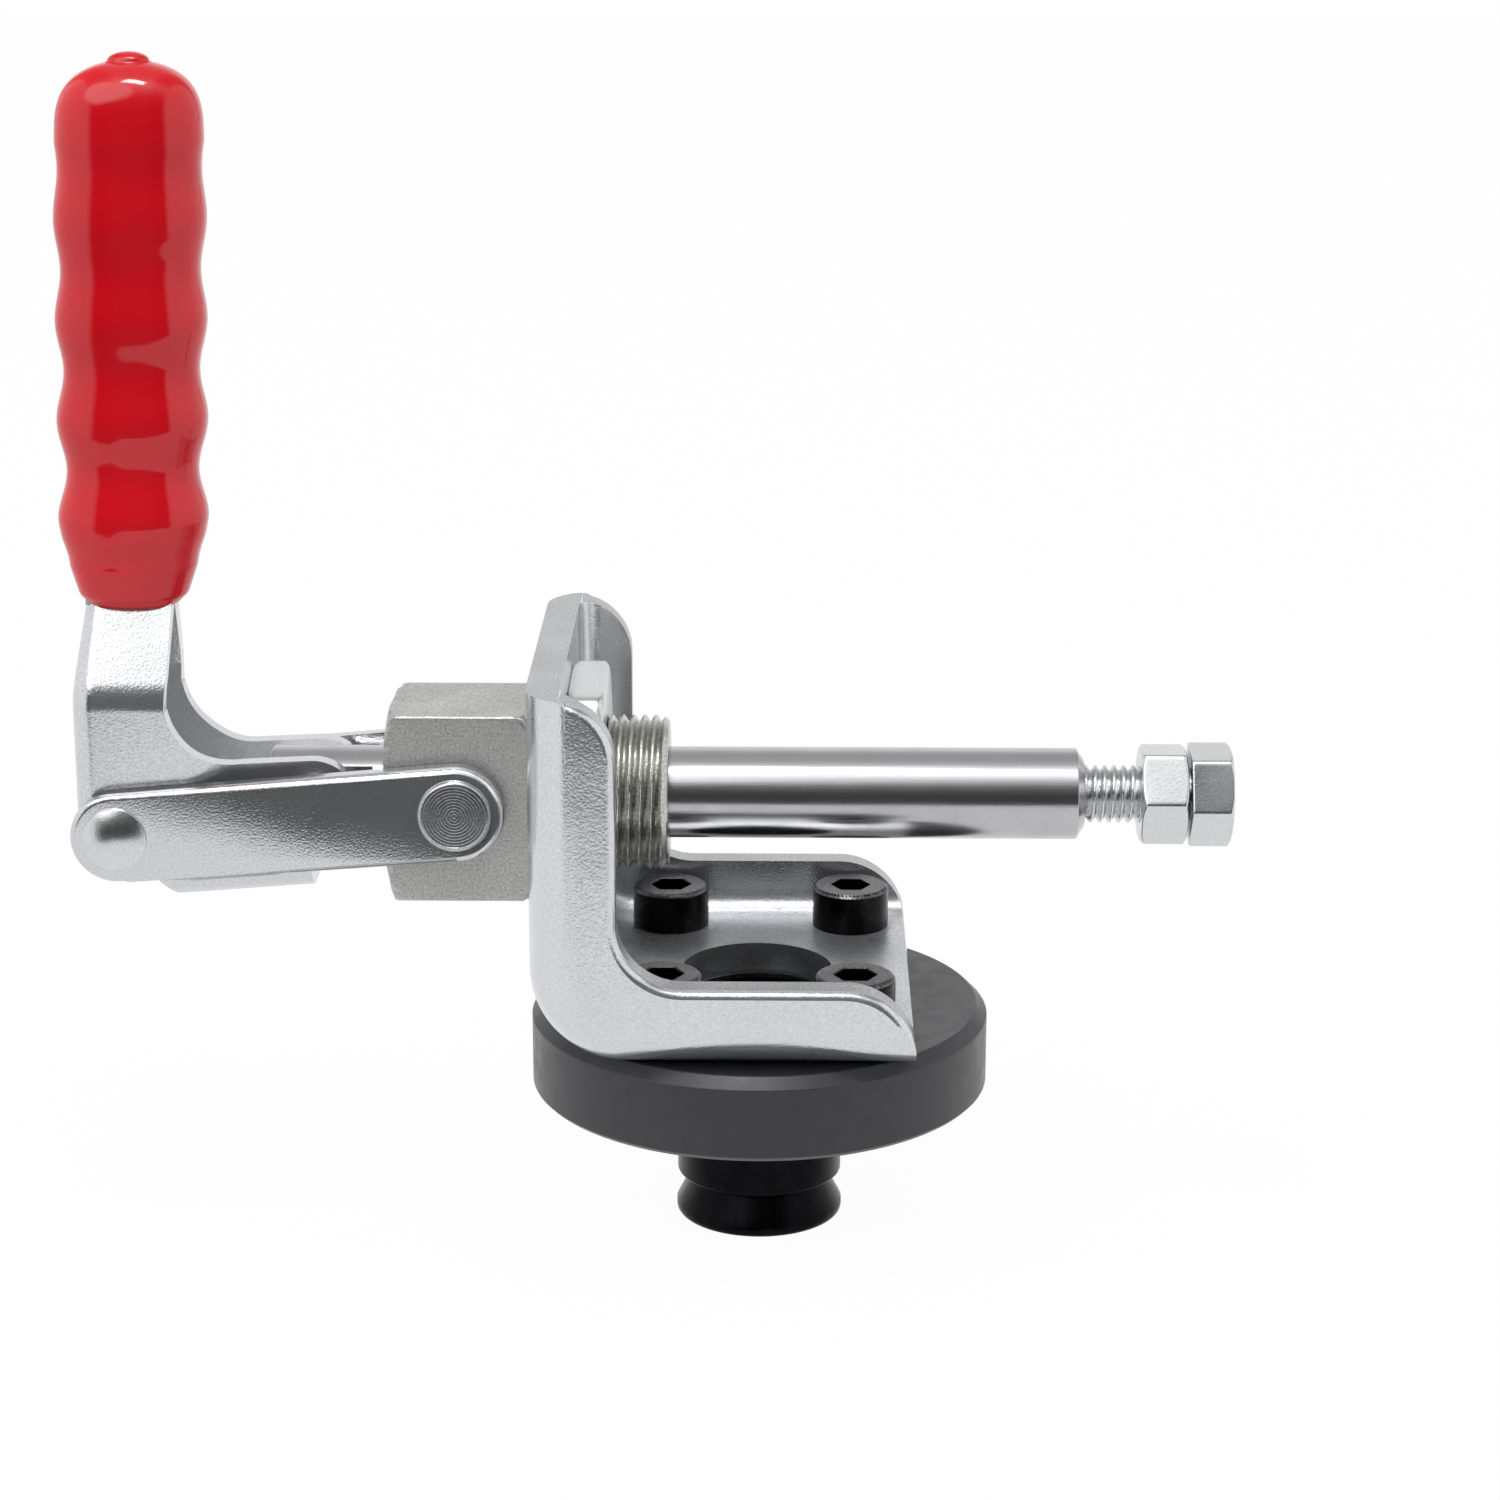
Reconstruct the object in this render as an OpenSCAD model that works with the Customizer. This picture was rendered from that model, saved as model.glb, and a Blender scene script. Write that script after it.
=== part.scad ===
// Push-pull toggle clamp on a flanged steel bracket, bolted to a round adapter for a hole table.
// Origin: spigot axis in the table's plane. +X towards the clamping bolt, +Z up.

/* [Adapter disc and spigot] */
// Diameter of the adapter disc
disc_d = 76; // [70:1:90]
// Thickness of the adapter disc, from the table up
disc_h = 14; // [13:0.5:16]
// Chamfer round the disc's top edge
disc_chamfer = 1.8; // [0.5:0.1:2.5]
// Chamfer round the disc's lower edge
disc_foot_chamfer = 0.8; // [0.3:0.1:1.5]
// Diameter of the spigot's rim, a little under the table hole of 28
rim_d = 27.8; // [27.6:0.1:27.9]
// Diameter of the spigot's collar
collar_d = 27.5; // [27.4:0.1:27.7]
// Diameter of the shallow relief round the spigot, under the disc
relief_d = 28.8; // [28.4:0.1:30]
// Length of the collar
collar_h = 16.1; // [14:0.1:17]
// Neck of the locking groove under the collar
neck_d = 22.4; // [21:0.1:24]
// Height of the groove's cone, from the neck to the rim
groove_h = 5.6; // [4:0.1:7]
// Height of the rim's straight edge
rim_h = 1.8; // [1:0.1:3]
// Thread of the countersunk screw that holds the spigot
spigot_screw_d = 10; // [8:1:10]

/* [Bracket] */
// Thickness of the bracket's sheet
sheet_t = 5.4; // [4.8:0.1:5.6]
// Width of the bracket over its flanges
bracket_w = 73; // [71:0.5:76]
// Place of the upright's rear face
upright_x = -36.4; // [-38:0.1:-36]
// Place of the foot's front end
foot_end_x = 25.1; // [24:0.1:27]
// Top of the upright above the table
bracket_top = 75; // [73:0.5:78]
// Depth of the side flanges, from the sheet's outer face
flange_h = 14.05; // [13:0.05:14.5]
// Outer radius of the bends along the flanges
flange_bend_r = 9; // [7:0.1:10]
// Outer radius of the bend between foot and upright
heel_r = 15.4; // [15:0.1:17]
// Radius where the two flange edges meet
flange_inner_r = 10.5; // [8:0.5:12]
// Corner radius at the flanges' free ends
flange_end_r = 10; // [8:0.5:12]
// Diameter of the round hole in the foot
foot_hole_d = 25; // [24:0.5:26]
// Place of the foot's hole along the bracket
foot_hole_x = -0.4; // [-1:0.1:1]

/* [Socket head screws] */
// Spacing of the four screws along the bracket
screw_span_x = 31; // [30:0.5:33]
// Spacing of the four screws across the bracket
screw_span_y = 46; // [44:0.5:47]
// Thread of the screws
screw_d = 8; // [7.5:0.1:8]
// Diameter of the screws' heads
screw_head_d = 13; // [12.5:0.1:13.3]
// Height of the screws' heads
screw_head_h = 7.1; // [7:0.1:8]
// Width across flats of the screws' sockets
screw_socket_af = 6; // [5:0.5:6]
// Length of the screws under the head
screw_length = 16; // [12:1:17]

/* [Clamp body] */
// Height of the clamping axis above the table
axis_z = 50; // [49:0.5:52]
// Length of the block behind the bracket
block_l = 24.5; // [23:0.5:26]
// Width of the block
block_w = 21.6; // [21:0.1:21.8]
// Height of the block
block_h = 31.2; // [30:0.1:32]
// Depth of the turned cone on the block's rear corners
block_crown = 0.9; // [0.5:0.1:1.5]
// Depth of the turned chamfer on the block's front corners
block_chamfer = 2.6; // [1.5:0.1:3]
// Diameter of the threaded nose
nose_d = 25.4; // [25:0.1:25.6]
// Place of the nose's front end
nose_end_x = -14.9; // [-16:0.1:-12]
// Width across flats of the nose nut
nose_nut_af = 39; // [36:0.5:41]
// Thickness of the nose nut
nose_nut_h = 6; // [5:0.1:8]

/* [Plunger and clamping bolt] */
// Diameter of the plunger
plunger_d = 15; // [14:0.1:16]
// Place of the plunger's rear end
plunger_rear_x = -80.4; // [-82:0.1:-79]
// Place of the plunger's front end
plunger_front_x = 53.2; // [50:0.1:56]
// Width of the flattened rear end of the plunger
tail_w = 10; // [9.5:0.1:10]
// Diameter of the plunger's cross pin
cross_pin_d = 8; // [7:0.1:8]
// Diameter of the bolt's thread
bolt_d = 9.5; // [9:0.1:10]
// Length of the bolt under its head
bolt_l = 50; // [45:1:54]
// Gap between plunger and jam nut, as set
bolt_out = 9.1; // [5:0.1:14]
// Width across flats of bolt head and jam nut
bolt_af = 15; // [14:0.1:16]
// Thickness of the jam nut
jam_nut_h = 7.6; // [6:0.1:8]
// Height of the bolt's head
bolt_head_h = 6.9; // [6:0.1:7.5]

/* [Linkage] */
// Place of the link's pivot on the block
link_pivot_x = -49.15; // [-50:0.05:-48]
// Distance from the link's pivot to the elbow
link_l = 55.2; // [54:0.1:56]
// Distance from the elbow to the plunger's cross pin
crank_l = 31.8; // [31:0.1:33]
// Depth of the elbow below the clamping axis
elbow_drop = 4.25; // [3.5:0.05:5]
// Thickness of the link's and the handle's sheet
link_t = 3; // [2.8:0.1:3]
// Radius of the link's end at the block
link_block_r = 8; // [7.5:0.1:8.5]
// Radius of the link's end at the elbow
link_elbow_r = 7.4; // [7:0.1:8]
// Depth of the bridge that joins the link's two plates, below its centre line
link_bridge_drop = 11; // [10.5:0.1:12]
// Diameter of the pivot pins at the block
pivot_pin_d = 12; // [11:0.1:12]
// Diameter of the elbow rivet's shank
rivet_d = 8; // [7:0.1:8]
// Diameter of the elbow rivet's domed heads
rivet_head_d = 10.2; // [9.5:0.1:11]

/* [Handle] */
// Radius of the lever's end round the cross pin
arm_end_r = 7.4; // [7:0.1:7.6]
// Radius of the lever's end round the elbow
elbow_end_r = 7; // [6.5:0.1:7.2]
// Place of the neck's front edge
neck_front_x = -96; // [-97:0.1:-95]
// Radius of the inside corner between neck and arms
throat_r = 11; // [9:0.5:12]
// Height at which the cheeks start to lean together
neck_bend_z = 66; // [65:0.1:68]
// Top of the grip above the table, without its nub
grip_top = 168.7; // [165:0.1:175]
// Lower end of the grip
grip_foot = 82; // [81:0.5:83]
// Half width of the grip at its finger ridges
grip_half_w = 12.05; // [11.5:0.05:12.5]
// Depth of the grip as a share of its width
grip_flatness = 0.72; // [0.65:0.01:0.8]
// Pitch of the finger ridges
ridge_pitch = 16.1; // [15:0.1:17]

/* [Hidden] */

zinc = "lightsteelblue";
cast = "darkseagreen";
bright = "silver";
black_oxide = "dimgray";
$fn = 64;
eps = 0.01;
run_gap = 0.05;     // radial clearance of a running fit
seat_gap = 0.02;    // radial clearance of a seated thread or pressed pin
side_gap = 0.25;    // play between faces that slide past each other

relief_h = 0.6;      // depth of the relief under the disc
tenon_r = 10;        // the spigot's tenon in the disc
tenon_h = 2.6;
foot_top = disc_h + sheet_t;
half_w = bracket_w / 2;
bend_in_r = flange_bend_r - sheet_t;
block_rear_x = upright_x - block_l;
nut_seat_x = upright_x + sheet_t;
bolt_seat_x = plunger_front_x + bolt_out + jam_nut_h + 0.5;
jam_nut_x = plunger_front_x + bolt_out;
bolt_bore_end_x = bolt_seat_x - bolt_l - bolt_out - 3;
elbow_x = link_pivot_x - sqrt(pow(link_l, 2) - pow(elbow_drop, 2));
elbow_z = axis_z - elbow_drop;
cross_x = elbow_x + sqrt(pow(crank_l, 2) - pow(elbow_drop, 2));
link_tilt = asin(elbow_drop / link_l);
link_in_y = block_w / 2 + side_gap;
link_out_y = link_in_y + link_t;
cheek_out_y = link_in_y - 0.2;
arm_out_y = tail_w / 2 + 0.1 + link_t;
web_x = elbow_x - elbow_end_r;
lever_bend_r = 3.6;

// Rotates a shape drawn along +Z so that it runs along +X
module along_x() rotate([0, 90, 0]) children();

// Extrudes an outline drawn as [x, z] across the part, centred on the middle plane
module across(w) rotate([90, 0, 0]) linear_extrude(w, center = true) children();

// Hexagon prism along +X with its corners cut back by a cone at one or both ends
module hex_along_x(af, h, turn, both_ends, cut = 2) {
    corner_r = af / sqrt(3);
    rotate([turn, 0, 0]) intersection() {
        along_x() cylinder(h = h, r = corner_r, $fn = 6);
        along_x() rotate_extrude() polygon([
            [0, 0],
            [both_ends ? af / 2 - 0.2 : corner_r + 1, 0],
            [corner_r + 1, both_ends ? cut : 0],
            [corner_r + 1, h - cut],
            [af / 2 - 0.2, h],
            [0, h]]);
    }
}

// Turned adapter disc: four tapped holes, a countersunk centre and a register for the spigot
module base_disc() {
    color(black_oxide) difference() {
        rotate_extrude() polygon([
            [0, 0],
            [disc_d / 2 - disc_foot_chamfer, 0],
            [disc_d / 2, disc_foot_chamfer],
            [disc_d / 2, disc_h - disc_chamfer],
            [disc_d / 2 - disc_chamfer, disc_h],
            [0, disc_h]]);
        for (p = screw_places()) translate([p.x, p.y, disc_h - screw_length + sheet_t - 2])
            cylinder(h = screw_length, r = screw_d / 2 + seat_gap);
        translate([0, 0, -1]) cylinder(h = 1 + relief_h, r = relief_d / 2);
        cylinder(h = tenon_h, r = tenon_r + seat_gap);
        cylinder(h = disc_h + 1, r = spigot_screw_d / 2 + 0.25);
        translate([0, 0, disc_h - 7]) cylinder(h = 5.02, r1 = spigot_screw_d / 2, r2 = spigot_screw_d / 2 + 5.02);
        translate([0, 0, disc_h - 2]) cylinder(h = 3, r = spigot_screw_d / 2 + 5.3);
    }
}

// Spigot: collar, locking groove and rim, turned from one bar and tapped from above
module table_spigot() {
    rim_top = -collar_h - groove_h;
    color(black_oxide) difference() {
        rotate_extrude() polygon([
            [0, rim_top - rim_h],
            [rim_d / 2 - 0.5, rim_top - rim_h],
            [rim_d / 2, rim_top - rim_h + 0.5],
            [rim_d / 2, rim_top],
            [neck_d / 2, -collar_h - 0.3],
            [neck_d / 2, -collar_h],
            [collar_d / 2, -collar_h],
            [collar_d / 2, 0],
            [collar_d / 2 - 0.7, 0],
            [collar_d / 2 - 0.7, relief_h],
            [tenon_r, relief_h],
            [tenon_r, tenon_h - 0.05],
            [0, tenon_h - 0.05]]);
        translate([0, 0, -14]) cylinder(h = 20, r = spigot_screw_d / 2 + seat_gap);
    }
}

// Countersunk socket screw that pulls the spigot up against the disc
module spigot_screw() {
    head_top = disc_h - 1.97;
    color(black_oxide) difference() {
        union() {
            translate([0, 0, -12]) cylinder(h = head_top + 7, r = spigot_screw_d / 2);
            rotate_extrude() polygon([
                [0, head_top - 5.4],
                [spigot_screw_d / 2, head_top - 5],
                [spigot_screw_d / 2 + 4.6, head_top - 0.4],
                [spigot_screw_d / 2 + 4.6, head_top],
                [0, head_top]]);
        }
        translate([0, 0, head_top - 3.4]) cylinder(h = 4, r = 6 / sqrt(3), $fn = 6);
    }
}

function screw_places() = [for (sx = [-1, 1], sy = [-1, 1]) [sx * screw_span_x / 2, sy * screw_span_y / 2]];

// Section of the bracket's sheet: a channel that is open towards +x
module channel_section(depth) {
    difference() {
        channel_outline(0, half_w, flange_bend_r, depth);
        channel_outline(sheet_t, half_w - sheet_t, bend_in_r, depth + 1);
    }
}

module channel_outline(x, half, r, depth) {
    intersection() {
        union() {
            translate([x + r, -half]) square([depth - x - r, 2 * half]);
            translate([x, -half + r]) square([r + eps, 2 * (half - r)]);
            for (s = [-1, 1]) translate([x + r, s * (half - r)]) circle(r = r);
        }
        translate([x, -half]) square([depth - x, 2 * half]);
    }
}

// Fills the corner between the two flange edges with its inside radius
module flange_gusset() {
    edge_x = upright_x + flange_h;
    edge_z = disc_h + flange_h;
    difference() {
        polygon([
            [edge_x - 6, edge_z - 6],
            [edge_x + flange_inner_r, edge_z - 6],
            [edge_x + flange_inner_r, edge_z],
            [edge_x, edge_z + flange_inner_r],
            [edge_x - 6, edge_z + flange_inner_r]]);
        translate([edge_x + flange_inner_r, edge_z + flange_inner_r]) circle(r = flange_inner_r);
    }
}

// Cuts a corner of a flange to a radius: the cutter's square corner sits at the origin
module corner_cutter(r) {
    difference() {
        translate([-r, -r]) square([r + 1, r + 1]);
        translate([-r, -r]) circle(r = r);
    }
}

// L bracket: one sheet with side flanges that run on round the heel from foot to upright
module bracket() {
    heel_x = upright_x + heel_r;
    heel_z = disc_h + heel_r;
    color(zinc) difference() {
        union() {
            translate([upright_x, 0, heel_z]) linear_extrude(bracket_top - heel_z) channel_section(flange_h);
            translate([heel_x, 0, disc_h]) rotate([90, 0, 90]) linear_extrude(foot_end_x - heel_x)
                rotate(90) channel_section(flange_h);
            translate([heel_x, 0, heel_z]) rotate([-90, 0, 180])
                rotate_extrude(angle = 90) translate([heel_r, 0]) mirror([1, 0]) channel_section(flange_h);
            for (s = [-1, 1]) translate([0, s * (half_w - sheet_t / 2), 0]) across(sheet_t) flange_gusset();
        }
        translate([upright_x + flange_h, 0, bracket_top]) across(bracket_w + 2) corner_cutter(flange_end_r);
        translate([foot_end_x, 0, disc_h + flange_h]) across(bracket_w + 2) corner_cutter(flange_end_r + 1.5);
        translate([upright_x - 1, 0, axis_z]) along_x() cylinder(h = sheet_t + 2, r = nose_d / 2 + 0.1);
        translate([foot_hole_x, 0, disc_h - 1]) cylinder(h = sheet_t + 2, r = foot_hole_d / 2);
        for (p = screw_places()) {
            translate([p.x, p.y, disc_h - 1]) cylinder(h = sheet_t + 2, r = screw_d / 2 + 0.5);
            translate([p.x, p.y, foot_top]) cylinder(h = screw_head_h, r = screw_head_d / 2 + run_gap);
        }
    }
}

// Socket head cap screw, standing on the bracket's foot
module base_screw(place) {
    color(black_oxide) translate([place.x, place.y, foot_top]) difference() {
        union() {
            translate([0, 0, -screw_length]) cylinder(h = screw_length + 1, r = screw_d / 2);
            rotate_extrude() polygon([
                [0, 0],
                [screw_head_d / 2, 0],
                [screw_head_d / 2, screw_head_h - 0.6],
                [screw_head_d / 2 - 0.6, screw_head_h],
                [0, screw_head_h]]);
        }
        translate([0, 0, screw_head_h - 4]) cylinder(h = 5, r = screw_socket_af / sqrt(3), $fn = 6);
    }
}

// Block with a threaded nose, bored through for the plunger
module clamp_body() {
    corner_r = norm([block_w, block_h]) / 2;
    color(cast) difference() {
        union() {
            intersection() {
                translate([block_rear_x, -block_w / 2, axis_z - block_h / 2]) cube([block_l, block_w, block_h]);
                translate([block_rear_x, 0, axis_z]) along_x() rotate_extrude() polygon([
                    [0, 0],
                    [block_w / 2 - 2, 0],
                    [corner_r + 1, block_crown * 1.1],
                    [corner_r + 1, block_l - block_chamfer],
                    [corner_r + 1 - block_chamfer, block_l],
                    [0, block_l]]);
            }
            translate([upright_x - 1, 0, axis_z]) along_x() rotate_extrude() polygon([
                [0, 0],
                [nose_d / 2, 0],
                [nose_d / 2, nose_end_x - upright_x],
                [nose_d / 2 - 1, nose_end_x - upright_x + 1],
                [0, nose_end_x - upright_x + 1]]);
        }
        translate([block_rear_x - 1, 0, axis_z]) along_x()
            cylinder(h = nose_end_x - block_rear_x + 2, r = plunger_d / 2 + run_gap);
    }
}

// Thin hexagon nut that clamps the bracket against the block
module nose_nut() {
    color(zinc) translate([nut_seat_x, 0, axis_z]) difference() {
        hex_along_x(nose_nut_af, nose_nut_h, -27.8, true, 1.3);
        translate([-1, 0, 0]) along_x() cylinder(h = nose_nut_h + 2, r = nose_d / 2 + seat_gap);
    }
}

// Ground plunger: flattened tail with a cross bore, tapped front end
module plunger() {
    front_chamfer = 1.3;
    shoulder_x = cross_x + 9.5;
    color(bright) difference() {
        translate([plunger_rear_x, 0, axis_z]) along_x() rotate_extrude() polygon([
            [0, 0],
            [plunger_d / 2 - 0.6, 0],
            [plunger_d / 2, 0.6],
            [plunger_d / 2, plunger_front_x - plunger_rear_x - front_chamfer],
            [plunger_d / 2 - 2, plunger_front_x - plunger_rear_x],
            [0, plunger_front_x - plunger_rear_x]]);
        for (s = [-1, 1]) translate([plunger_rear_x - 1, s * (tail_w / 2 + 5) - 5, axis_z - plunger_d])
            cube([shoulder_x - plunger_rear_x + 1, 10, 2 * plunger_d]);
        translate([cross_x, 0, axis_z]) rotate([90, 0, 0])
            cylinder(h = plunger_d + 2, r = cross_pin_d / 2 + run_gap, center = true);
        translate([bolt_bore_end_x, 0, axis_z]) along_x()
            cylinder(h = plunger_front_x - bolt_bore_end_x + 1, r = bolt_d / 2 + run_gap);
    }
}

// Pin that carries the lever's arms on the plunger's tail
module cross_pin() {
    half = link_in_y - 0.4;
    color(zinc) translate([cross_x, half, axis_z]) rotate([90, 0, 0]) rotate_extrude() polygon([
        [0, 0],
        [cross_pin_d / 2 - 0.6, 0],
        [cross_pin_d / 2, 0.6],
        [cross_pin_d / 2, 2 * half - 0.6],
        [cross_pin_d / 2 - 0.6, 2 * half],
        [0, 2 * half]]);
}

// Hexagon head bolt, the clamp's adjustable nose
module clamping_bolt() {
    color(zinc) translate([bolt_seat_x, 0, axis_z]) {
        hex_along_x(bolt_af, bolt_head_h, -24.3, false);
        translate([-bolt_l, 0, 0]) along_x() rotate_extrude() polygon([
            [0, 0],
            [bolt_d / 2 - 0.8, 0],
            [bolt_d / 2, 0.8],
            [bolt_d / 2, bolt_l + 1],
            [0, bolt_l + 1]]);
    }
}

// Nut that locks the bolt against the plunger
module jam_nut() {
    color(zinc) translate([jam_nut_x, 0, axis_z]) difference() {
        hex_along_x(bolt_af, jam_nut_h, 26.6, true);
        translate([-1, 0, 0]) along_x() cylinder(h = jam_nut_h + 2, r = bolt_d / 2 + run_gap);
    }
}

// Outline of one link plate: two rounded ends joined by straight edges just inside their tangents
module link_outline() {
    lean = asin((link_block_r - link_elbow_r) / link_l);
    elbow_edge = link_elbow_r - 0.02;
    block_edge = link_block_r - 0.02;
    circle(r = link_elbow_r);
    translate([link_l, 0]) circle(r = link_block_r);
    polygon([
        elbow_edge * [-sin(lean), cos(lean)],
        elbow_edge * [-sin(lean), -cos(lean)],
        [link_l, 0] + block_edge * [-sin(lean), -cos(lean)],
        [link_l, 0] + block_edge * [-sin(lean), cos(lean)]]);
}

// Section of the bridge below the link's centre line: a channel open upwards
module bridge_section() {
    bend_r = 4.5;
    difference() {
        union() {
            translate([-link_out_y, -link_bridge_drop + bend_r]) square([2 * link_out_y, link_bridge_drop - bend_r - 2]);
            translate([-link_out_y + bend_r, -link_bridge_drop]) square([2 * (link_out_y - bend_r), bend_r + eps]);
            for (s = [-1, 1]) translate([s * (link_out_y - bend_r), -link_bridge_drop + bend_r]) circle(r = bend_r);
        }
        translate([-link_in_y, -link_bridge_drop + bend_r]) square([2 * link_in_y, link_bridge_drop]);
        translate([-link_out_y + bend_r, -link_bridge_drop + link_t]) square([2 * (link_out_y - bend_r), bend_r]);
        for (s = [-1, 1]) translate([s * (link_out_y - bend_r), -link_bridge_drop + bend_r])
            circle(r = bend_r - link_t);
    }
}

// Puts a shape drawn in the link's own frame, elbow at its origin, in place
module in_link() translate([elbow_x, 0, elbow_z]) rotate([0, -link_tilt, 0]) children();

// Link: two plates bent up from one sheet, joined by a bridge below
module link() {
    bridge_start = 6.4;
    bridge_end = 31.6;
    color(zinc) in_link() difference() {
        union() {
            for (s = [-1, 1]) translate([0, s * (link_in_y + link_t / 2), 0]) across(link_t) link_outline();
            intersection() {
                translate([bridge_start, 0, 0]) rotate([90, 0, 90])
                    linear_extrude(bridge_end - bridge_start) bridge_section();
                across(3 * link_out_y) polygon([
                    [bridge_start, 0],
                    [bridge_start, -link_elbow_r - 0.3],
                    [bridge_start + 2.8, -link_bridge_drop],
                    [bridge_end - 0.6, -link_bridge_drop],
                    [bridge_end, 0]]);
            }
        }
        rotate([90, 0, 0]) cylinder(h = 3 * link_out_y, r = rivet_d / 2 + seat_gap, center = true);
        translate([link_l, 0, 0]) rotate([90, 0, 0])
            cylinder(h = 3 * link_out_y, r = pivot_pin_d / 2 + seat_gap, center = true);
    }
}

// Stub pin of the link at the block, with a flat turned face; side is -1 in front, 1 behind
module pivot_pin(side) {
    start = block_w / 2 + 0.12;
    stop = link_out_y + 0.9;
    color(zinc) in_link() translate([link_l, side * start, 0]) rotate([side * -90, 0, 0]) rotate_extrude() polygon([
        [0, 0],
        [pivot_pin_d / 2, 0],
        [pivot_pin_d / 2, stop - start - 0.8],
        [pivot_pin_d / 2 - 0.8, stop - start],
        [0, stop - start]]);
}

// Rivet of the elbow, with a domed head on each side
module elbow_rivet() {
    rise = 2;
    dome_r = (pow(rivet_head_d / 2, 2) + pow(rise, 2)) / (2 * rise);
    color(zinc) in_link() {
        rotate([90, 0, 0]) cylinder(h = 2 * link_out_y, r = rivet_d / 2, center = true);
        for (s = [-1, 1]) translate([0, s * link_out_y, 0]) rotate([s * -90, 0, 0]) rotate_extrude() intersection() {
            translate([0, rise - dome_r]) circle(r = dome_r);
            square([rivet_head_d / 2, rise]);
        }
    }
}

// Side outline of the lever's cheeks and arms, drawn as [x, z]
module lever_outline() {
    throat_x = neck_front_x + throat_r;
    throat_z = axis_z + arm_end_r - 0.6 + throat_r;
    translate([cross_x, axis_z]) circle(r = arm_end_r);
    translate([elbow_x, elbow_z]) circle(r = elbow_end_r);
    difference() {
        polygon([
            [web_x, elbow_z],
            [elbow_x, elbow_z - elbow_end_r],
            [cross_x, axis_z - arm_end_r],
            [cross_x, axis_z + arm_end_r],
            [throat_x, throat_z - throat_r],
            [throat_x, neck_bend_z],
            [web_x, neck_bend_z]]);
        translate([throat_x, throat_z]) circle(r = throat_r);
        translate([neck_front_x, throat_z]) square([throat_r + 1, 20]);
    }
}

// Half width over the lever's outer faces: the arms step in towards the plunger
function lever_y(x) = arm_out_y + (cheek_out_y - arm_out_y) * (1 + cos(180 * min(1, max(0, (x + 93) / 10)))) / 2;

// Corner of the lever's sheet seen from above, on the side given by s, at radius r about the bend
function lever_corner(s, r) = [for (a = [0:11.25:90])
    [web_x + lever_bend_r - r * sin(a), s * (cheek_out_y - lever_bend_r + r * cos(a))]];

function reversed(list) = [for (i = [len(list) - 1:-1:0]) list[i]];

// Plan of the lever's sheet: a channel at the neck whose cheeks run on as two arms
module lever_plan() {
    tip_x = cross_x + arm_end_r + 1;
    outer = concat([[tip_x, arm_out_y]], [for (i = [12:-1:0]) let (x = -93 + 10 * i / 12) [x, lever_y(x)]],
        lever_corner(1, lever_bend_r));
    inner = concat([[tip_x, arm_out_y - link_t]], [for (i = [12:-1:0]) let (x = -93 + 10 * i / 12) [x, lever_y(x) - link_t]],
        lever_corner(1, lever_bend_r - link_t));
    polygon(concat(
        outer, reversed([for (p = outer) [p.x, -p.y]]),
        [for (p = inner) [p.x, -p.y]], reversed(inner)));
}

// Thin slice of the neck at a height: rear edge, front edge, half width and corner radius
module neck_slice(z, rear, front, half, r) {
    translate([0, 0, z]) linear_extrude(eps) {
        translate([rear + r, -half]) square([front - rear - r, 2 * half]);
        translate([rear, r - half]) square([r + eps, 2 * (half - r)]);
        for (s = [-1, 1]) translate([rear + r, s * (half - r)]) circle(r = r, $fn = 32);
    }
}

// Neck: the cheeks bend in over a few steps and lean together until the sheets touch inside the grip
module lever_neck() {
    shut_z = neck_bend_z + 17;
    steps = [
        // height above the bend, shift of the rear edge, of the front edge and of the cheeks, corner radius
        [0, 0, 0, 0, lever_bend_r],
        [1.6, 0.05, 0.05, 0.17, lever_bend_r],
        [3.2, 0.15, 0.15, 0.62, lever_bend_r],
        [4.8, 0.35, 0.3, 1.35, lever_bend_r],
        [17, 2, 0.8, cheek_out_y - link_t - 0.2, 2.6]];
    difference() {
        union() {
            for (i = [0:3]) hull() for (s = [steps[i], steps[i + 1]])
                neck_slice(neck_bend_z + s[0], web_x + s[1], neck_front_x + s[2], cheek_out_y - s[3], s[4]);
            across(2 * link_t) polygon([
                [web_x + 2, shut_z - 1],
                [web_x + 6, 158],
                [neck_front_x + 3, 158],
                [neck_front_x + 0.8, shut_z - 1]]);
        }
        hull() {
            neck_slice(neck_bend_z, web_x + link_t, 0, cheek_out_y - link_t, 1.2);
            neck_slice(neck_bend_z + 3.6, web_x + link_t + 0.2, 0, cheek_out_y - link_t - 0.55, 1.2);
        }
        hull() {
            neck_slice(neck_bend_z + 3.59, web_x + link_t + 0.2, 0, cheek_out_y - link_t - 0.55, 1.2);
            neck_slice(shut_z - 1.4, web_x + link_t + 1.9, 0, 0.2, 0.1);
        }
    }
}

// Lever: one folded sheet, a channel pinched flat where it enters the grip
module handle_lever() {
    color(zinc) difference() {
        union() {
            intersection() {
                across(2 * cheek_out_y + 1) lever_outline();
                translate([0, 0, elbow_z - 12]) linear_extrude(neck_bend_z - elbow_z + 12) lever_plan();
            }
            lever_neck();
        }
        translate([web_x - 1, -cheek_out_y + link_t + 1, elbow_z - 12])
            cube([6, 2 * (cheek_out_y - link_t - 1), 18]);
        translate([elbow_x, 0, elbow_z]) rotate([90, 0, 0])
            cylinder(h = 40, r = rivet_d / 2 + run_gap, center = true);
        translate([cross_x, 0, axis_z]) rotate([90, 0, 0])
            cylinder(h = 40, r = cross_pin_d / 2 + seat_gap, center = true);
    }
}

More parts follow.
